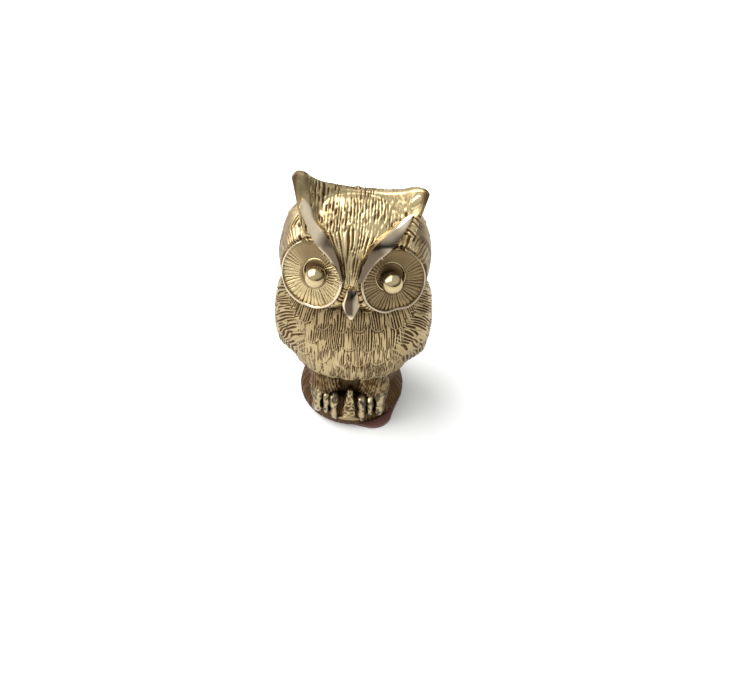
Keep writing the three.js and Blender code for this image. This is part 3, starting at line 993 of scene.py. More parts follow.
@dataclass
class Head:
    """The face with its ears, brows, eye discs, eyes and beak, and the back of the head."""

    form: Form = Form(
        (
            (36.9, 0, 0, 0), (37, 10.5, 8, 8.6), (37.5, 13.6, 9.4, 11), (39.6, 15.6, 11.5, 12.6),
            (42.5, 16.5, 13.1, 13.4), (45.6, 16.7, 13.1, 13.6), (49.5, 16.1, 12, 12.6),
            (53.5, 14.9, 9.7, 10.4), (56.6, 12.6, 6.6, 7.4), (58.6, 10, 4.3, 5), (60, 7, 2.4, 3),
            (60.6, 4, 1.2, 1.6), (60.8, 0, 0, 0),
        )
    )
    seam: float = 1.5
    crest_line: tuple[tuple[float, float], ...] = (
        (-13.3, 65.6), (-12.5, 66.6), (-11.2, 66.2), (-8.6, 63.6), (-5, 61.9), (0, 61.2),
        (5, 61.4), (9, 62.6), (12.6, 64.6), (14.2, 64.9), (15, 64.2),
    )
    crest_foot: float = 53.5  # the height at which the plate ends inside the head
    crest_top: float = 1.9  # how far back its upper edge lies in the middle
    crest_half: float = 13.5  # half its width, for the bow
    crest_bow: float = 3.6  # how far its ends come forward
    crest_rake: float = 0.46  # how far it leans back for each mm of height
    crest_thickness: tuple[float, float] = (1.7, 4.6)  # at the edge and at the foot
    crest_narrowing: float = 0.77  # the foot's width as a share of the edge's
    fan_root: tuple[float, float] = (-12.6, 46.2)  # where the forehead's strokes spring from
    neck: tuple[float, float] = (37.2, 38.6)  # the dull band that the collar hides
    outward: float = 18  # degrees that an eye looks to its side
    upward: float = 24  # degrees that it looks up
    disc_depth: float = 1.35
    flutes: int = 46
    rim_widths: tuple[float, ...] = (0.1, 0.15, 0.2, 0.28, 0.33, 0.33, 0.3, 0.24, 0.12)
    rim_heights: tuple[float, ...] = (0.12, 0.2, 0.28, 0.38, 0.42, 0.42, 0.36, 0.28, 0.15)
    ring_section: tuple[tuple[float, float], ...] = (
        (-0.65, -0.6), (-0.65, -0.05), (-0.48, 0.3), (-0.25, 0.42), (-0.1, 0.34), (-0.02, 0.05),
        (0, -0.3), (0, -0.6),
    )
    ear_facet: tuple[float, float, float] = (12.3, -3.0, 62.3)
    ear_facet_half: tuple[float, float, float] = (1.1, 0.5, 2.2)
    ball_radius: float = 2.35
    ball_height: float = 2.3
    stem_radius: float = 0.55
    stem_length: float = 3.2

    def gaze(self, side: Side) -> Array:
        """The unit direction in which an eye looks."""
        out, up = math.radians(self.outward), math.radians(self.upward)
        level = math.cos(up)
        return np.array([side * math.sin(out) * level, -math.cos(out) * level, math.sin(up)])

    def disc_frame(self, side: Side) -> tuple[Array, Array, Array, Array]:
        """An eye disc's middle on the unmarked head, and its own axes: across, up and out."""
        out = self.gaze(side)
        across = np.cross((0.0, 0.0, 1.0), -out)
        across /= np.linalg.norm(across)
        return np.array(EYES[side].centre), across, np.cross(-out, across), out

    def disc_place(self, points: Array, side: Side) -> tuple[Array, Array, Array, Array, Array]:
        """Places in an eye disc's frame.

        Returns:
            Distance across, up and out, the share of the way to the disc's edge, and the angle.
        """
        centre, across, up, out = self.disc_frame(side)
        offset = points - centre
        u, v, d = offset @ across, offset @ up, offset @ out
        reach = np.hypot(u / EYES[side].half[0], v / EYES[side].half[1])
        return u, v, d, reach, np.arctan2(v, u * side)

    def crest_height(self, x: Array) -> Array:
        """How high the crest's edge is at each place across."""
        across, height = np.array(self.crest_line).T
        return through(x, across, height)[:, 0]

    def plate_middle(self, x: Array, z: Array) -> Array:
        """How far back the middle of the crest plate is, level with each place."""
        bow = self.crest_bow * (x / self.crest_half) ** 2
        return self.crest_top - bow - self.crest_rake * (self.crest_height(x) - z)

    def crest_plate(self) -> Object:
        """The two ears and the crest between them, as a plate with a shaped upper edge."""
        deselect_all()
        bpy.ops.mesh.primitive_grid_add(x_subdivisions=60, y_subdivisions=24, size=2)
        plate = bpy.context.object
        apply_modifier(plate, "SOLIDIFY", thickness=2.0, offset=0.0)
        flat = points_of(plate)
        right, left = self.crest_line[0][0], self.crest_line[-1][0]
        edge_x = right + (flat[:, 0] + 1) / 2 * (left - right)
        up = (flat[:, 1] + 1) / 2
        z = self.crest_foot + (self.crest_height(edge_x) - self.crest_foot) * up
        x = edge_x * (self.crest_narrowing + (1 - self.crest_narrowing) * up)
        top, foot = self.crest_thickness
        taper = 1 - 0.55 * np.abs(flat[:, 0]) ** 6
        y = self.plate_middle(edge_x, z) + flat[:, 2] / 2 * taper * (foot + (top - foot) * up)
        set_points(plate, np.stack([x, y, z], axis=1))
        recalculate_normals(plate)
        return plate

    def model_head(self) -> Object:
        """The smooth head with its ears, before any chasing."""
        head = fuse("head", [self.form.build("head"), self.crest_plate()], 8)
        points = points_of(head)
        for side in Side:
            points = self.press_disc(points, side)
        set_points(head, self.press_ears(points))
        apply_modifier(head, "SMOOTH", factor=0.5, iterations=2)
        return head

    def press_disc(self, points: Array, side: Side) -> Array:
        """Flatten the face round an eye and press a shallow dish into it."""
        _, _, d, reach, _ = self.disc_place(points, side)
        ahead = ease(-7.5, -5, d)
        flatten = 0.62 * (1 - ease(1.0, 1.32, reach)) * ahead
        dish = -self.disc_depth * np.sqrt(np.clip(1 - reach**2, 0, 1)) * ahead
        return points + (dish - flatten * d)[:, None] * self.gaze(side)

    def press_ears(self, points: Array) -> Array:
        """Hollow the front of each ear to a smooth facet."""
        for spot in EAR_HOLLOWS:
            front = points[:, 1] < self.plate_middle(points[:, 0], points[:, 2]) + 0.1
            dent = spot.depth * np.clip(1 - spot.reach(points, spot.half) ** 2, 0, 1) * front
            points = points + dent[:, None] * np.array([0.0, 0.8, -0.3])
        return points

    def chase_forehead(self, x: Array, rise: Array) -> tuple[Array, Array, Array]:
        """Two fans of strokes from the root of the beak, which break up toward the crest.

        Returns:
            The relief, the height of the strands, and where tarnish lies in patches.
        """
        far = np.hypot(x, rise)
        angle = np.arctan2(x, rise + 1.2)
        wave = 1.2 * mottle(x / 2, rise / 2, 9)
        outer_fan = strokes(angle * 12, far + wave, 0.74, 2.6, 11)
        inner_fan = strokes(angle * 7, far + wave, 0.8, 5.0, 13)
        fan = inner_fan + (outer_fan - inner_fan) * ease(6.0, 7.5, far)
        loose = strokes(x + 0.1 * rise * angle, rise + wave, 0.7, 1.1, 23)
        pits = mottle(x / 0.5, rise / 0.7, 31)
        crown = ease(10.5, 13, far)
        broken = 0.22 * (loose - 0.75) + 0.2 * (pits - 0.5)
        relief = 0.4 * (fan - 0.75) * (1 - 0.6 * crown) + crown * broken
        grain = fan * (1 - crown) + (0.6 * loose + 0.5 * pits) * crown
        calm = 0.5 * crown * ease(0.4, 0.62, mottle(x / 2.6, rise / 2.0, 37))
        patches = ease(0.5, 0.7, mottle(x / 1.8, rise / 1.6, 39)) * crown
        return relief * (1 - calm), grain + (1 - grain) * calm, patches

    def chase_cheeks(self, points: Array) -> tuple[Array, Array]:
        """Strokes down the sides of the head, and short rays round the discs' outer edges.

        Returns:
            The relief and the height of the strands.
        """
        x, y, z = points.T
        across = np.arctan2(x, -y + 2.0) * 15 + 0.35 * (z - 45)
        grain = strokes(across, z * 0.9 + 0.3 * np.abs(x), 0.85, 2.4, 41)
        relief = 0.3 * (grain - 0.75)
        for side in Side:
            _, _, _, reach, turned = self.disc_place(points, side)
            ray = strokes(turned * 8.5, 7 * reach, 0.85, 1.9, 43 + side)
            halo = ease(1.0, 1.1, reach) * (1 - ease(1.35, 1.6, reach)) * (x * side > 0)
            relief = relief * (1 - halo) + 0.42 * (ray - 0.7) * halo
            grain = grain * (1 - halo) + ray * halo
        return relief, grain

    def over_brows(self, points: Array) -> tuple[Array, Array]:
        """Which points lie on the forehead, and how far each point is from a brow."""
        x, _, z = points.T
        gap = np.full(len(points), 9.0)
        above = z > 46.5
        for side in Side:
            line = np.array(BROWS[side].crest)
            fine = through(np.linspace(0, 1, 60), np.linspace(0, 1, len(line)), line)
            gap = np.minimum(gap, distance_to_line(points, fine))
            above &= x * side < np.interp(z, fine[::-1, 2], fine[::-1, 0] * side)
        return above, gap

    def flute_disc(
        self, face: Object, side: Side, relief: Array, groove: Array, shade: Array
    ) -> tuple[Array, Array, Array]:
        """Cut rays into an eye disc round a plain top, and a trench round the disc.

        Args:
            face: the face before it is embossed.
            side: the eye's side.
            relief: the face's relief so far.
            groove: how much of a groove each point is, so far.
            shade: the tarnish and painted shade so far.

        Returns:
            The relief, the grooves, and the tarnish and painted shade, with the disc's own.
        """
        points = points_of(face)
        u, v, d, reach, turned = self.disc_place(points, side)
        ahead = (d > -5) & (normals_of(face) @ self.gaze(side) > 0.15)
        on_disc = ahead & (reach < 1.0)
        phase = 0.5 * self.flutes * turned / math.pi + 0.22 * mottle(u, v, 5)
        comb = np.abs(np.sin(math.pi * phase)) ** 0.5
        depth = 0.5 + 0.5 * chance(np.round(phase), np.zeros_like(phase), 7 + side)
        calm = np.exp(-(((turned - 1.75) / 0.85) ** 4))
        band = ease(0.36, 0.46, reach) * (1 - ease(0.93, 1.0, reach))
        flute = ((comb - 1) * depth + 0.3) * band * (1 - calm)
        # Off the rays the groove value stays high, so the dish round the ball darkens as painted shade.
        low = np.where(band > 0.05, (0.5 - 1.6 * flute) * (1 - 0.5 * calm), 0.55)
        # Painted shade round the ball and at the disc's edge, on the plain top under the brow, and over
        # the whole left disc, which faces away from the light; the right disc's rays keep some tarnish.
        painted_recess_shade = 0.5 * (1 - ease(0.38, 0.5, reach)) + 0.3 * ease(0.86, 1.0, reach)
        kept = (1 - EYES[side].tarnish_and_painted_shade) * (1 - painted_recess_shade) * (1 - EYES[side].top_painted_shade * calm)
        trench = np.exp(-(((reach - 1.07) / 0.045) ** 2)) * ahead
        relief = np.where(on_disc, 0.42 * flute, relief) - 0.45 * trench
        shade = np.maximum(np.where(on_disc, 1 - kept, shade), 0.75 * trench)
        return relief, np.where(on_disc, low, groove), shade

    def chase_face(self, face: Object) -> None:
        """Chase the forehead, the cheeks and the eye discs, and leave the ears smooth."""
        points = points_of(face)
        x, y, z = points.T
        rise = np.hypot(z - self.fan_root[1], y - self.fan_root[0])
        forehead, top_grain, patches = self.chase_forehead(x, rise)
        cheeks, side_grain = self.chase_cheeks(points)
        above, gap = self.over_brows(points)
        near_brow = 1 - ease(1.3, 2.3, gap)
        flank = ease(12.2, 14.6, np.abs(x)) * ~above
        relief = np.where(above, forehead, cheeks) * (1 - 0.25 * near_brow) * (1 - 0.6 * flank)
        groove = hollow(np.where(above, top_grain, side_grain), 0.3, 0.85) * (0.85 - 0.4 * flank)
        # Shade: an even darkening and random stains, with painted shade beside and below the brows and on
        # the head's turned-away sides.
        shade = 0.17 + 0.22 * patches + 0.1 * near_brow + 0.12 * ~above + 0.42 * flank
        for side in Side:
            relief, groove, shade = self.flute_disc(face, side, relief, groove, shade)
        ear = ease(61.2, 63.2, z) * ease(8.5, 10.5, np.abs(x))
        for spot in EAR_HOLLOWS:
            ear = np.where(spot.reach(points, spot.clear) < 1, 1.0, ear)
        groove = groove * (1 - ear) + 0.2 * ear
        # Painted shade at the ears' outer edges, and random stains on the ears.
        tip = np.maximum(ease(11.2, 12.6, -x), ease(12.7, 14.0, x))
        stain = ease(0.45, 0.7, mottle(x / 1.3, z / 1.7, 45))
        shade = np.maximum(shade, np.maximum(0.9 * tip, 0.4 * stain) * ear)
        edge = self.crest_height(x) - z
        relief = relief * (1 - ear) * (0.35 + 0.65 * ease(0.3, 1.6, edge))
        behind = (y > self.plate_middle(x, z) + 0.9) & (z > 58)
        shade = np.where(behind, 0.25, shade)
        groove = np.where(behind, 0.6 * hollow(strokes(x, z, 0.7, 2.2, 47), 0.3, 0.85), groove)
        relief = np.where(behind, 0.4 * relief, relief)
        # Painted shade on the neck band, under the collar.
        under = 1 - ease(*self.neck, z)
        relief = relief * ease(0, 0.7, self.seam - y) * (1 - under)
        emboss(face, relief, groove, np.maximum(shade, 0.85 * under))
        finish_piece(face, ["face_casting"], Finish.CHASED)

    def chase_back(self, back: Object) -> None:
        """Chase rows of small feathers down the back of the head."""
        x, y, z = points_of(back).T
        around = np.arctan2(x, y + 3) * 14
        down = 61 - z + 0.02 * around**2
        height, _, offset, exposed = shingles(around, down, 3.9, 3.6, 1.5, 51)
        barbs = strokes(offset + 0.1 * around, down, 0.7, 2.6, 53)
        relief = 0.32 * (height - 0.5) + 0.22 * (barbs - 0.75)
        gap = np.exp(-((exposed / 0.3) ** 2))
        fade = ease(0, 0.7, y - self.seam) * ease(37.1, 38.2, z)
        groove = np.clip(hollow(barbs, 0.3, 0.85) + 0.7 * gap, 0, 1)
        # Painted shade: the back of the head is darkened all over for its turned-away sides, and most at
        # the neck, under the collar.
        emboss(back, relief * fade, groove, 0.3 + 0.5 * (1 - ease(*self.neck, z)))
        finish_piece(back, ["back_of_head"], Finish.CHASED)

    def build_brows(self) -> None:
        """The two long polished brows, from the ears to the root of the beak."""
        for side in Side:
            plan = BROWS[side]
            blade = Blade((plan.outer, plan.crest, plan.inner), plan.lifts)
            piece, across, share = blade.build(f"{side.label}_brow")
            # Painted reflections: each brow is darkened along its lower half as a painted dark
            # reflection, and its two edges are kept bright as painted highlights. The left brow's outer
            # facet is darker from near its start.
            edge = 1 - ease(0.1, 0.28, np.minimum(across, 2 - across))
            tarnish_and_painted_shade = 0.88 * ease(0.36, 0.58, share) * (1 - 0.75 * edge)
            if side is Side.LEFT:
                first = 0.42 * ease(0.15, 0.3, share) * (1 - ease(0.9, 1.1, across))
                tarnish_and_painted_shade = np.maximum(tarnish_and_painted_shade, first)
            set_attribute(piece, "shade", tarnish_and_painted_shade)
            finish_piece(piece, [], Finish.BURNISHED, smooth=12)

    def build_ear_facet(self, skin: BVHTree) -> None:
        """The small polished lens on the owl's left ear, just over the brow."""
        place, facing = drop_on(skin, [self.ear_facet])
        upright = np.array((0.5, 0.0, 0.85))
        along = upright - facing[0] * (facing[0] @ upright)
        along /= np.linalg.norm(along)
        axes = np.stack([np.cross(facing[0], along), facing[0], along])
        lens = new_ball("ear_facet", 40, 28)
        set_points(lens, points_of(lens) * self.ear_facet_half @ axes + place[0])
        recalculate_normals(lens)
        finish_piece(lens, [], Finish.POLISHED)

    def build_rims(self, skin: BVHTree) -> None:
        """The thin raised rim round each eye disc, from under the brow and back to it."""
        turned = np.radians(np.linspace(118, 424, 60))[:, None]
        for side in Side:
            centre, across, up, _ = self.disc_frame(side)
            wide, tall = EYES[side].half
            line = centre + side * across * np.cos(turned) * wide + up * np.sin(turned) * tall
            ridge = Ridge(line, self.rim_widths, self.rim_heights)
            piece = ridge.build(f"{side.label}_disc_rim", skin)
            set_attribute(piece, "shade", np.full(len(piece.data.vertices), EYES[side].rim_painted_shade))
            finish_piece(piece, [], Finish.BURNISHED)

    def build_eyes(self) -> None:
        """The polished balls on their stems, each in its turned ring."""
        for side in Side:
            centre, across, up, out = self.disc_frame(side)
            plan = EYES[side]
            seat = centre - out * (self.disc_depth * 0.95)
            turned_to = Vector((0, 0, 1)).rotation_difference(Vector(out)).to_matrix().to_4x4()
            ball_seat = seat + side * across * plan.ball[0] + up * plan.ball[1]
            ring_seat = seat + side * across * plan.ring[0] + up * plan.ring[1]
            ball = new_ball(f"{side.label}_eye", 72, 48)
            shape = points_of(ball)
            shape[:, 2] = np.where(shape[:, 2] < -0.93, -0.93, shape[:, 2])
            set_points(ball, shape * self.ball_radius + (0, 0, self.ball_height))
            self.draw_stem(ball)
            # Painted reflection: the ball darkens toward its base, where it mirrors the dark disc.
            low = 1 - ease(0.0, 1.0, (points_of(ball)[:, 2] - self.ball_height) / self.ball_radius)
            set_attribute(ball, "shade", 0.22 + 0.5 * low)
            ball.data.transform(Matrix.Translation(Vector(ball_seat)) @ turned_to)
            finish_piece(ball, [f"{side.label}_eye_ball"], Finish.POLISHED, smooth=60)
            section = [(plan.ring_radius + inset, rise) for inset, rise in self.ring_section]
            ring = turn(f"{side.label}_eye_ring", section)
            apply_modifier(ring, "SUBSURF", levels=1, render_levels=1)
            ring.data.transform(Matrix.Translation(Vector(ring_seat)) @ turned_to)
            finish_piece(ring, [f"{side.label}_eye_bezel"], Finish.POLISHED)

    def draw_stem(self, ball: Object) -> None:
        """Draw the flat under a ball out to its stem."""
        select_only(ball)
        bpy.ops.object.mode_set(mode="EDIT")
        bpy.ops.mesh.select_all(action="DESELECT")
        bpy.ops.object.mode_set(mode="OBJECT")
        lowest = points_of(ball)[:, 2].min()
        for face in ball.data.polygons:
            spot = face.center
            near_axis = math.hypot(spot.x, spot.y) < self.stem_radius
            face.select = near_axis and spot.z < lowest + 0.01
        bpy.ops.object.mode_set(mode="EDIT")
        bpy.ops.mesh.extrude_region_move(TRANSFORM_OT_translate={"value": (0, 0, -self.stem_length)})
        bpy.ops.object.mode_set(mode="OBJECT")
        recalculate_normals(ball)

    def build_beak(self) -> None:
        """The beak: a long kite with a narrow flat keel, which stands over the breast."""
        blade = Blade(BEAK_LINES, ((0.0, 0.0),) * len(BEAK_LINES), sunk=1.6, crown=0.16)
        beak, across, share = blade.build("beak_bill", 72, 10)
        apply_modifier(beak, "SMOOTH", factor=0.5, iterations=24)
        # Painted reflections: a dark band down the keel, a half-dark right facet, and a bright tip.
        keel = ease(0.5, 0.9, across) * (1 - ease(1.6, 2.0, across))
        right = ease(1.5, 1.9, across) * (1 - ease(2.5, 2.8, across))
        lit_tip = 1 - ease(0.6, 0.8, share)
        set_attribute(beak, "shade", (0.95 * keel + 0.55 * right * (1 - keel)) * lit_tip)
        finish_piece(beak, ["beak"], Finish.BURNISHED, smooth=50)

    def build(self) -> None:
        """Build every piece of the head."""
        head = self.model_head()
        skin = skin_of(head)
        face = keep_half(head, "face", self.seam, front=True)
        back = keep_half(head, "back_of_head_skin", self.seam, front=False)
        bpy.data.objects.remove(head)
        self.chase_face(face)
        self.chase_back(back)
        self.build_brows()
        self.build_ear_facet(skin)
        self.build_rims(skin)
        self.build_eyes()
        self.build_beak()


# ---------------------------------------------------------------- body and wings


@dataclass
class Body:
    """The hollow body's front and back, and the tail."""

    form: Form = Form(
        (
            (8, 0, 0, 0), (8.02, 8, 6.6, 8), (8.3, 10.5, 8.4, 10.6), (11, 11.2, 8.9, 11.6),
            (14, 12.2, 9.7, 12.7), (16.3, 13.3, 11, 13.3), (17.6, 13.9, 12.5, 13.6),
            (20, 14.8, 13.3, 14.1), (26, 16, 13.9, 14.6), (32, 16.1, 13.5, 14.2),
            (35.6, 15.3, 12.8, 13), (37.4, 14.2, 12.5, 11.6), (38.6, 12.6, 11.9, 9),
            (39.2, 9, 10.6, 6), (39.3, 0, 0, 0),
        )
    )
    girth: float = 14.5  # the radius at which the plumage is laid out flat
    neck: float = 38.5  # the height from which the plumage is laid

    def chase_front(self, front: Object) -> None:
        """Chase the breast: long gouge strokes under faint rows of round feathers."""
        x, y, z = points_of(front).T
        around = np.arctan2(x, -y) * self.girth
        down = self.neck - z
        height, margin, offset, exposed = shingles(around, down, 4.5, 5.2, 2.4, 61)
        barbs = strokes(around + 0.05 * offset * down, down, 0.66, 3.4, 63)
        lip = np.exp(-(((margin - 0.25) / 0.2) ** 2))
        breast = 0.46 * (barbs - 0.7) * (1 - 0.6 * lip) + 0.32 * (height - 0.55) + 0.16 * lip
        leg_hair = 0.28 * (strokes(around, down, 0.7, 2.2, 67) - 0.7)
        low = 1 - ease(16.2, 17.4, z)
        relief = breast * (1 - low) + leg_hair * low
        gap = np.exp(-((exposed / 0.35) ** 2)) * (1 - low)
        strand = np.where(low > 0.5, relief + 0.6, np.maximum(barbs, 0.8 * lip))
        groove = np.clip(hollow(strand, 0.35, 0.88) * (1 - 0.6 * low) + 0.8 * gap, 0, 1)
        fade = ease(0, 0.7, -y) * ease(8, 9, z)
        fringe = np.exp(-(((z - 17.2) / 0.9) ** 2))
        # Painted shade and reflection: the breast is darkened in place of the dark surroundings it
        # mirrored, more under the head and toward the bottom, and most on the legs' zone.
        painted_height_shade = 0.38 + 0.2 * ease(28, 37, z) + 0.08 * (1 - ease(18, 24, z))
        emboss(front, (relief + 0.15 * fringe) * fade, groove, painted_height_shade + (0.88 - painted_height_shade) * low)
        finish_piece(front, ["front_body_shell"], Finish.CHASED)

    def chase_rear(self, rear: Object) -> None:
        """Chase the back with rows of round feathers."""
        x, y, z = points_of(rear).T
        around = np.arctan2(x, y) * self.girth
        down = self.neck - z
        height, _, offset, exposed = shingles(around, down, 4.6, 4.4, 1.9, 71)
        barbs = strokes(offset, down, 0.7, 3.0, 73)
        relief = 0.34 * (height - 0.5) + 0.22 * (barbs - 0.75)
        groove = np.clip(hollow(barbs, 0.3, 0.85) + 0.7 * np.exp(-((exposed / 0.3) ** 2)), 0, 1)
        low = 1 - ease(15.5, 17, z)
        fade = ease(0, 0.7, y) * ease(8, 9, z)
        # Painted shade, darker toward the bottom.
        emboss(rear, relief * fade, groove * (1 - 0.6 * low), 0.4 + 0.4 * low)
        finish_piece(rear, ["rear_body_shell"], Finish.CHASED)

    def build_tail(self) -> None:
        """The short tail: one row of long flat feathers down the back of the perch."""
        ball = new_ball("tail", 96, 64)
        unit = points_of(ball)
        down = (1 - unit[:, 2]) / 2
        z = 17 - 15.4 * down
        stations = (0, 0.3, 0.6, 0.85, 1)
        half = through(down, stations, np.array([4.2, 5.4, 6.1, 5.9, 4.6]))[:, 0]
        reach = np.sqrt(np.clip(1 - unit[:, 2] ** 2, 0, 1)) ** 0.35
        cosine, sine = around_axis(unit)
        x = cosine * half * reach
        lean = through(down, stations, np.array([13.4, 13.3, 13.6, 13.9, 13.9]))[:, 0]
        y = lean + sine * reach * np.where(unit[:, 1] > 0, 1.15, 0.7) - 0.02 * x**2
        set_points(ball, np.stack([x, y, z], axis=1))
        tail = fuse("tail", [ball], 6)
        points = points_of(tail)
        quill = points[:, 0] / (1 + 0.045 * (14 - points[:, 2]))
        feather = np.abs(np.mod(quill / 2.1 + 0.5, 1) - 0.5) * 2
        barbs = strokes(quill + 0.4 * points[:, 2] * (feather - 0.5), points[:, 2], 0.6, 2.5, 81)
        relief = 0.35 * (np.clip(1 - feather, 0, 1) ** 0.5 - 0.6) + 0.16 * (barbs - 0.75)
        emboss(tail, relief, np.clip(0.35 - 1.6 * relief, 0, 1), 0.3)
        finish_piece(tail, [], Finish.CHASED)

    def build(self) -> None:
        """Build every piece of the body."""
        body = fuse("body", [self.form.build("body")], 12)
        front = keep_half(body, "breast", 0, front=True)
        rear = keep_half(body, "back", 0, front=False)
        bpy.data.objects.remove(body)
        self.chase_front(front)
        self.chase_rear(rear)
        self.build_tail()


@dataclass
class Wings:
    """The folded wings, each a curved pad of feathers over the body's side."""

    body: Form
    form: Form = Form(
        (
            (7, 0, 0, 0), (8, 12.2, 10.5, 12.6), (14, 15.2, 12.6, 15), (20, 17.3, 14.2, 16),
            (27, 18.2, 15, 16.2), (33, 17.7, 14.4, 15.2), (36.5, 16.2, 13.2, 13.8),
            (39, 14, 11.4, 12), (40, 0, 0, 0),
        )
    )
    outline: tuple[tuple[float, float], ...] = (
        (2.5, 37.2), (-4.5, 36.8), (-9.6, 34), (-11.6, 29), (-10.8, 23.6), (-7.2, 18.6),
        (-2.6, 15.3), (2.6, 12.6), (8.4, 9.8), (11.9, 11.6), (12.8, 19), (12, 27.5), (8.6, 34.4),
    )
    middle: tuple[float, float] = (1.5, 26)
    shoulder: float = 37  # the height from which the feathers are laid
    feather_angle: float = 52  # degrees that they slope back from level

    def rim(self, angles: Array) -> Array:
        """How far the outline lies from the wing's middle at each angle in its plane."""
        corners = np.array(self.outline) - self.middle
        at = np.arctan2(corners[:, 1], corners[:, 0])
        order = np.argsort(at)
        at, reach = at[order], np.hypot(*corners[order].T)
        at = np.concatenate([at[-2:] - 2 * math.pi, at, at[:2] + 2 * math.pi])
        reach = np.concatenate([reach[-2:], reach, reach[:2]])
        return through(angles, at, reach)[:, 0]

    def model(self, side: Side) -> Object:
        """Press a ball into the wing's outline between its outer and its inner face."""
        ball = new_ball(f"{side.label}_wing_skin", 160, 96)
        unit = points_of(ball)[:, [2, 0, 1]]
        spread = np.hypot(unit[:, 1], unit[:, 2])
        angle = np.arctan2(unit[:, 2], unit[:, 1])
        reach = (np.arcsin(np.clip(spread, 0, 1)) / (math.pi / 2)) ** 0.9
        far = self.rim(angle) * reach
        y = self.middle[0] + np.cos(angle) * far
        z = self.middle[1] + np.sin(angle) * far
        outer = self.form.half_width(y, z)
        skin = self.body.half_width(y, z)
        front_rim = ease(0.66, 1.0, reach) * ease(0.0, 0.6, -np.cos(angle))
        outer = outer - front_rim * np.maximum(outer - skin - 0.35, 0)
        inner = np.minimum(self.body.half_width(y, z, grow=-0.5), outer - 0.9)
        round_off = np.clip(1 - reach**7, 0, 1) ** 0.5
        middle = 0.5 * (outer + inner)
        x = middle + np.sign(unit[:, 0]) * round_off * (outer - inner) / 2
        set_points(ball, np.stack([side * x, y, z], axis=1))
        recalculate_normals(ball)
        return fuse(ball.name, [ball], 10)

    def chase(self, wing: Object, side: Side) -> None:
        """Chase small coverts over the shoulder and long flight feathers below them."""
        points = points_of(wing)
        turned = math.radians(self.feather_angle)
        y, z = points[:, 1] - self.middle[0], self.shoulder - points[:, 2]
        down = y * math.cos(turned) + z * math.sin(turned)
        aside = -y * math.sin(turned) + z * math.cos(turned)
        fan = aside / (1 + 0.012 * down)
        height, _, offset, exposed = shingles(fan, down, 3.4, 3.6, 1.7, 91 + side)
        spread = fan + 0.03 * offset * down + 0.6 * mottle(fan / 2, down / 2, 94)
        barbs = strokes(spread, down, 0.62, 1.7, 93 + side)
        coverts = 0.36 * (height - 0.5) + 0.34 * (barbs - 0.75)
        quill = np.abs(np.mod(fan / 2.5 + 0.3, 1) - 0.5) * 2
        vane = strokes(fan * 0.7 + 0.8 * np.abs(quill) * 2.5, down, 0.7, 3.5, 97 + side)
        flight = 0.4 * (np.clip(1 - quill, 0, 1) ** 0.4 - 0.7) + 0.18 * (vane - 0.75)
        lower = ease(15.5, 18, down)
        relief = coverts * (1 - lower) + flight * lower
        gap = np.exp(-((exposed / 0.35) ** 2)) * (1 - lower)
        grain = barbs * (1 - lower) + vane * lower
        groove = np.clip(hollow(grain, 0.35, 0.88) + 0.8 * gap + 0.6 * (0.05 - relief) * lower, 0, 1)
        # Painted shade on the faces turned in toward the body, and darker toward the bottom.
        facing_in = normals_of(wing)[:, 0] * side < -0.2
        painted_height_shade = 0.45 + 0.15 * (1 - ease(14, 32, points[:, 2]))
        emboss(wing, relief, groove, np.where(facing_in, 0.7, painted_height_shade))

    def build(self) -> None:
        """Build both wings."""
        for side in Side:
            wing = self.model(side)
            self.chase(wing, side)
            finish_piece(wing, [f"{side.label}_wing"], Finish.CHASED)


# ---------------------------------------------------------------- feet and base


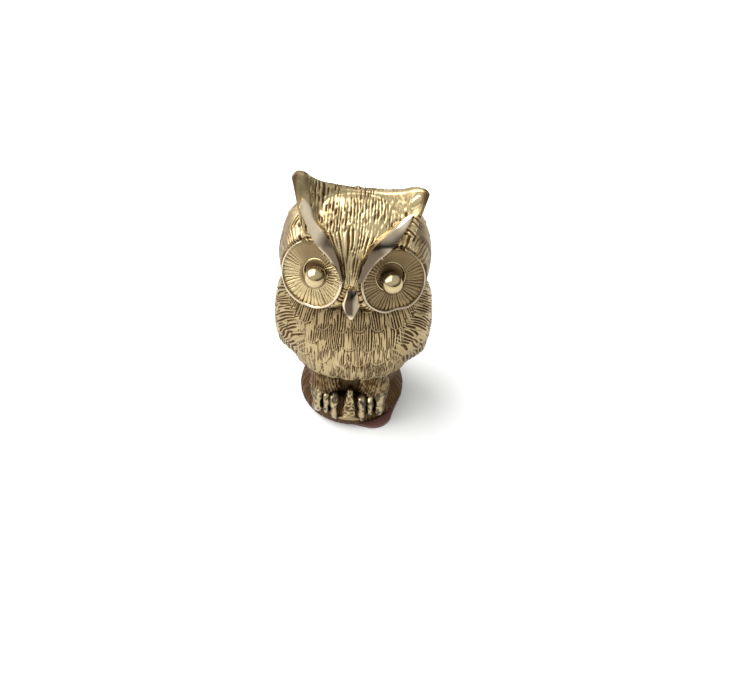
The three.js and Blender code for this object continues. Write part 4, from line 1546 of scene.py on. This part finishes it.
@dataclass
class Feet:
    """The feathered legs and the toes that curl over the perch.

    Attributes:
        ring: the radius of the perch under the toes.
        toes: for each toe its place across, its knuckle's and its claw's height, and its radius.
        toe_swell: how thick a toe is at even steps from the leg to the claw's tip.
        leg_half: half the leg's width, depth and height.
        leg_middle: the middle of the left leg.
    """

    ring: float = 12.6
    toes: tuple[tuple[float, float, float, float], ...] = (
        (3.3, 8.6, 2.6, 1.0),
        (5.2, 8.5, 3.6, 0.85),
        (7.4, 9.4, 3.0, 1.5),
    )
    toe_swell: tuple[float, ...] = (0.5, 0.95, 1.15, 1.0, 0.8, 0.92, 0.8, 0.5, 0.2)
    leg_half: tuple[float, float, float] = (3.8, 2.7, 4.7)
    leg_middle: tuple[float, float, float] = (5.7, -8.7, 12.0)

    def build_leg(self, side: Side) -> None:
        """One feathered leg, bulging out from under the belly."""
        ball = new_ball(f"{side.label}_leg", 64, 48)
        aside, ahead, up = self.leg_middle
        set_points(ball, points_of(ball) * self.leg_half + (side * aside, ahead, up))
        leg = fuse(ball.name, [ball], 2)
        points = points_of(leg)
        hair = strokes(points[:, 0] - side * 0.15 * points[:, 2], points[:, 2], 0.62, 2.4, 101 + side)
        speckle = mottle(points[:, 0] / 0.5, points[:, 2] / 0.7, 103 + side)
        relief = 0.24 * (hair - 0.75) + 0.3 * (speckle - 0.5)
        # Painted dark reflection, with tarnish, darkens the legs all over.
        emboss(leg, relief, np.clip(0.5 - 1.8 * relief, 0, 1), 0.68)
        finish_piece(leg, [f"{side.label}_foot"], Finish.CHASED)

    def build_toe(self, side: Side, number: int) -> None:
        """One polished toe: knuckle, waist and claw, curled down over the perch."""
        x, knuckle, bottom, radius = self.toes[number]
        front = -math.sqrt(self.ring**2 - x**2)
        line = np.array(
            [
                (side * (x * 0.75 + 1.1), front + 3.0, knuckle + 2.0),
                (side * x, front + 0.9, knuckle + 1.0),
                (side * x, front - 0.35, knuckle - 0.6),
                (side * x, front - 0.55, 0.5 * (knuckle + bottom)),
                (side * x, front - 0.25, bottom + 1.0),
                (side * x, front + 0.5, bottom - 0.2),
            ]
        )
        ball = new_ball(f"{side.label}_toe_{number + 1}", 32, 64)
        unit = points_of(ball)
        share = way_down(unit)
        stations = np.linspace(0, 1, len(line))
        ahead = through(np.clip(share + 0.02, 0, 1), stations, line)
        along = unit_rows(ahead - through(np.clip(share - 0.02, 0, 1), stations, line))
        across = unit_rows(np.cross(along, (0.0, -1.0, 0.05)))
        cosine, sine = around_axis(unit)
        cap = np.sqrt(np.clip(1 - np.abs(2 * share - 1) ** 8, 0, 1))
        swell = through(share, np.linspace(0, 1, len(self.toe_swell)), self.toe_swell)[:, 0]
        thick = swell * radius * cap
        points = through(share, stations, line) + across * (cosine * thick)[:, None]
        points += np.cross(across, along) * (sine * thick)[:, None]
        set_points(ball, points)
        recalculate_normals(ball)
        lumps = mottle(points[:, 0] / 0.7, points[:, 2] / 0.9 + 5 * number, 105 + side) - 0.5
        set_points(ball, points + normals_of(ball) * (0.45 * lumps * cap)[:, None])
        spots = mottle(points[:, 0] / 0.6 + 3, points[:, 2] / 0.8 + 5 * number, 107 + side)
        # Random spots of tarnish, with painted shade on the toes' sides and at their roots, and a painted
        # dark reflection over the whole toe.
        flanks = ease(0.45, 0.75, np.abs(cosine))
        tarnish_and_painted_shade = np.maximum(0.9 * ease(0.55, 0.7, spots), 0.85 * (1 - ease(0.15, 0.34, share)))
        tarnish_and_painted_shade = np.maximum(tarnish_and_painted_shade, 0.4 + 0.5 * flanks)
        set_attribute(ball, "shade", tarnish_and_painted_shade)
        finish_piece(ball, [], Finish.POLISHED)

    def build(self) -> None:
        """Build both feet."""
        for side in Side:
            self.build_leg(side)
            for number in range(len(self.toes)):
                self.build_toe(side, number)


@dataclass
class Base:
    """The round perch, the panel between the feet, and the plate, screw and felt under them."""

    perch_girth: float = 12.5  # the radius at which the perch's strokes are laid
    perch_outline: tuple[tuple[float, float], ...] = (
        (0.0, 8.0), (7.0, 8.0), (10.2, 8.0), (10.5, 7.6), (11.0, 6.9), (11.8, 5.7), (12.5, 4.3),
        (12.8, 2.9), (12.75, 1.8), (12.4, 1.02), (10.75, 1.02), (10.75, 2.05), (0.0, 2.05),
    )
    felt_reach: tuple[tuple[float, float], ...] = (
        (-180, 11.8), (-140, 12), (-110, 11.8), (-86, 11.8), (-75, 12.7), (-64, 14.0), (-54, 14.5),
        (-45, 14.2), (-36, 13.2), (-26, 12.5), (0, 12.2), (45, 12), (90, 12.2), (140, 11.9),
        (180, 11.8),
    )

    def build_perch(self) -> None:
        """The mound of close upright strokes that the owl sits on."""
        perch = fuse("perch", [turn("perch", self.perch_outline, 96)], 4)
        points = points_of(perch)
        around = np.arctan2(points[:, 0], -points[:, 1])
        around = np.where(points[:, 1] < 0, around, -np.arctan2(points[:, 0], points[:, 1]))
        hair = strokes(around * self.perch_girth + 0.12 * points[:, 2], points[:, 2], 0.72, 3.4, 111)
        outside = ease(10.9, 11.4, np.hypot(points[:, 0], points[:, 1]) + 0.35 * points[:, 2] - 1.2)
        relief = 0.28 * (hair - 0.7) * outside * ease(1.1, 1.9, points[:, 2])
        # Painted dark reflection, with tarnish, darkens the perch almost fully.
        emboss(perch, relief, 0.6 * hollow(hair, 0.35, 0.88), 0.96)
        finish_piece(perch, ["perch_base"], Finish.CHASED)

    def build_panel(self) -> None:
        """The flared feather panel between the feet, with a bar along its foot."""
        ball = new_ball("feather_panel", 64, 48)
        unit = points_of(ball)
        up = (unit[:, 2] + 1) / 2
        cosine, sine = around_axis(unit)
        reach = np.sqrt(np.clip(1 - unit[:, 2] ** 2, 0, 1)) ** 0.3
        x = cosine * (2.25 - 1.45 * up) * reach + 0.25
        y = -12.35 + 2.3 * up + sine * reach * 0.75
        z = 3.4 + 7.6 * up
        set_points(ball, np.stack([x, y, z], axis=1))
        bar = new_ball("feather_panel_bar", 48, 24)
        shape = points_of(bar)[:, [2, 0, 1]]
        shape = np.sign(shape) * np.abs(shape) ** 0.8 * (2.75, 0.6, 0.5) + (0.3, -12.75, 3.7)
        set_points(bar, shape)
        panel = fuse("feather_panel", [ball, bar], 2)
        points = points_of(panel)
        stipple = mottle(points[:, 0] / 0.42, points[:, 2] / 0.42, 121) - 0.5
        edge = np.abs(points[:, 0] - 0.25) / np.maximum(2.25 - 1.45 * (points[:, 2] - 3.4) / 7.6, 0.5)
        relief = 0.34 * stipple * (1 - ease(0.7, 0.85, edge)) * ease(4.1, 4.6, points[:, 2])
        emboss(panel, relief, np.clip(0.5 - 2.2 * relief, 0, 1), 0.25)
        finish_piece(panel, [], Finish.CHASED)

    def build_underside(self) -> None:
        """The sheet plate, its countersunk screw and the glued felt."""
        plate = turn(
            "closing_plate",
            [(1.62, 2.0), (1.62, 1.9), (2.62, 1.0), (10.6, 1.0), (10.6, 1.85), (10.45, 2.0)],
        )
        finish_piece(plate, ["base_plate"], Finish.SHEET, smooth=30)
        screw = turn(
            "closing_screw",
            [(0.0, 1.02), (2.5, 1.02), (1.5, 1.92), (1.5, 5.8), (1.0, 6.42), (0.0, 6.42)],
            48,
        )
        self.cut_slot(screw)
        finish_piece(screw, ["base_screw"], Finish.ZINC, smooth=30)
        felt = turn(
            "felt_disc",
            [(0.0, 0.0), (0.97, 0.0), (1.0, 0.15), (1.0, 0.85), (0.97, 1.0), (0.0, 1.0)],
            192,
        )
        points = points_of(felt)
        turned = np.degrees(np.arctan2(points[:, 1], points[:, 0]))
        cut = np.array(self.felt_reach)
        nap = 0.1 * (mottle(np.abs(turned) / 4, points[:, 2] * 3, 131) - 0.5)
        points[:, :2] *= (through(turned, cut[:, 0], cut[:, 1]) + nap[:, None])
        set_points(felt, points)
        finish_piece(felt, ["felt_pad"], Finish.FELT, smooth=40)

    def cut_slot(self, screw: Object) -> None:
        """Saw the slot across the screw's head."""
        deselect_all()
        bpy.ops.mesh.primitive_cube_add(size=1, location=(0, 0, 1.25))
        blade = bpy.context.object
        set_points(blade, points_of(blade) * (6, 0.6, 0.6))
        apply_modifier(screw, "BOOLEAN", operation="DIFFERENCE", object=blade, solver="EXACT")
        bpy.data.objects.remove(blade)

    def build(self) -> None:
        """Build every piece of the base."""
        self.build_perch()
        self.build_panel()
        self.build_underside()


# ---------------------------------------------------------------- studio


@dataclass
class Studio:
    """The pale table, the soft light and the camera."""

    azimuth: float = 1.5  # degrees that the camera stands to the owl's left
    pitch: float = 46  # degrees that it looks down
    roll: float = 3  # degrees that it is tipped
    position: tuple[float, float, float] = (9.4, -155.1, 178.0)
    focal_mm: float = 44.45
    ceiling: str = "#F2F4F4"
    near_wall: str = "#DCDAD6"
    far_wall: str = "#1F1C1B"
    table_size: float = 60  # metres, so that its edge is far off in a level view
    window_place: tuple[float, float, float] = (-0.75, 0.1, 1.0)
    window_aim: tuple[float, float, float] = (0, 0, 0.035)
    window_size: float = 1.5
    window_watts: float = 28

    def build_table(self) -> None:
        """A wide pale table top."""
        deselect_all()
        bpy.ops.mesh.primitive_plane_add(size=self.table_size, location=(0, 0, 0))
        table = bpy.context.object
        table.name = "table"
        material, tree = new_material("matt_white_board")
        shader = add_node(
            tree,
            "BsdfPrincipled",
            {"Base Color": linear("#F6F6F4"), "Roughness": 0.85, "Specular IOR Level": 0.2},
        )
        close_material(tree, shader)
        table.data.materials.append(material)

    def light_room(self) -> None:
        """A bright ceiling over a room that is pale on one side and dark on the other."""
        world = bpy.data.worlds.new("room")
        bpy.context.scene.world = world
        world.use_nodes = True
        tree = world.node_tree
        tree.nodes.clear()
        direction = add_node(tree, "TexCoord", out="Generated")
        across = add_node(tree, "SeparateXYZ", {0: direction}, "X")
        up = add_node(tree, "SeparateXYZ", {0: direction}, "Z")
        to_right = add_node(
            tree, "MapRange", {0: across, 1: -0.35, 2: 0.5}, interpolation_type="SMOOTHSTEP"
        )
        to_top = add_node(tree, "MapRange", {0: up, 1: 0.05, 2: 0.6}, interpolation_type="SMOOTHSTEP")
        walls = add_node(
            tree,
            "Mix",
            {0: to_right, 6: linear(self.near_wall), 7: linear(self.far_wall)}, 2, data_type="RGBA",
        )
        room = add_node(tree, "Mix", {0: to_top, 6: walls, 7: linear(self.ceiling)}, 2, data_type="RGBA")
        background = add_node(tree, "Background", {"Color": room, "Strength": 1.0})
        add_node(tree, "OutputWorld", {"Surface": background})

    def hang_window(self) -> None:
        """Hang the square soft light that faces the owl."""
        lamp = bpy.data.lights.new("window", "AREA")
        lamp.size = self.window_size
        lamp.energy = self.window_watts
        holder = bpy.data.objects.new("window", lamp)
        bpy.context.scene.collection.objects.link(holder)
        holder.location = self.window_place
        aim = Vector(self.window_aim) - Vector(self.window_place)
        holder.rotation_euler = aim.to_track_quat("-Z", "Y").to_euler()

    def build_camera(self) -> None:
        """The camera, looking down at the owl."""
        camera = bpy.data.cameras.new("camera")
        camera.lens = self.focal_mm
        camera.clip_start = 0.01
        holder = bpy.data.objects.new("camera", camera)
        bpy.context.scene.collection.objects.link(holder)
        turned = (
            Matrix.Rotation(math.radians(self.azimuth), 4, "Z")
            @ Matrix.Rotation(math.radians(90 - self.pitch), 4, "X")
            @ Matrix.Rotation(math.radians(self.roll), 4, "Z")
        )
        holder.matrix_world = Matrix.Translation(Vector(self.position) * MM) @ turned
        bpy.context.scene.camera = holder

    def build(self) -> None:
        """Set up the whole studio."""
        self.build_table()
        self.light_room()
        self.hang_window()
        self.build_camera()
        bpy.context.scene.view_settings.view_transform = "Standard"


def main() -> None:
    """Build the owl and its studio."""
    deselect_all()
    body = Body()
    groups = [Head(), body, Wings(body.form), Feet(), Base(), Studio()]
    for group in groups:
        LOG.info("building %s", type(group).__name__)
        group.build()


if __name__ == "__main__":
    main()
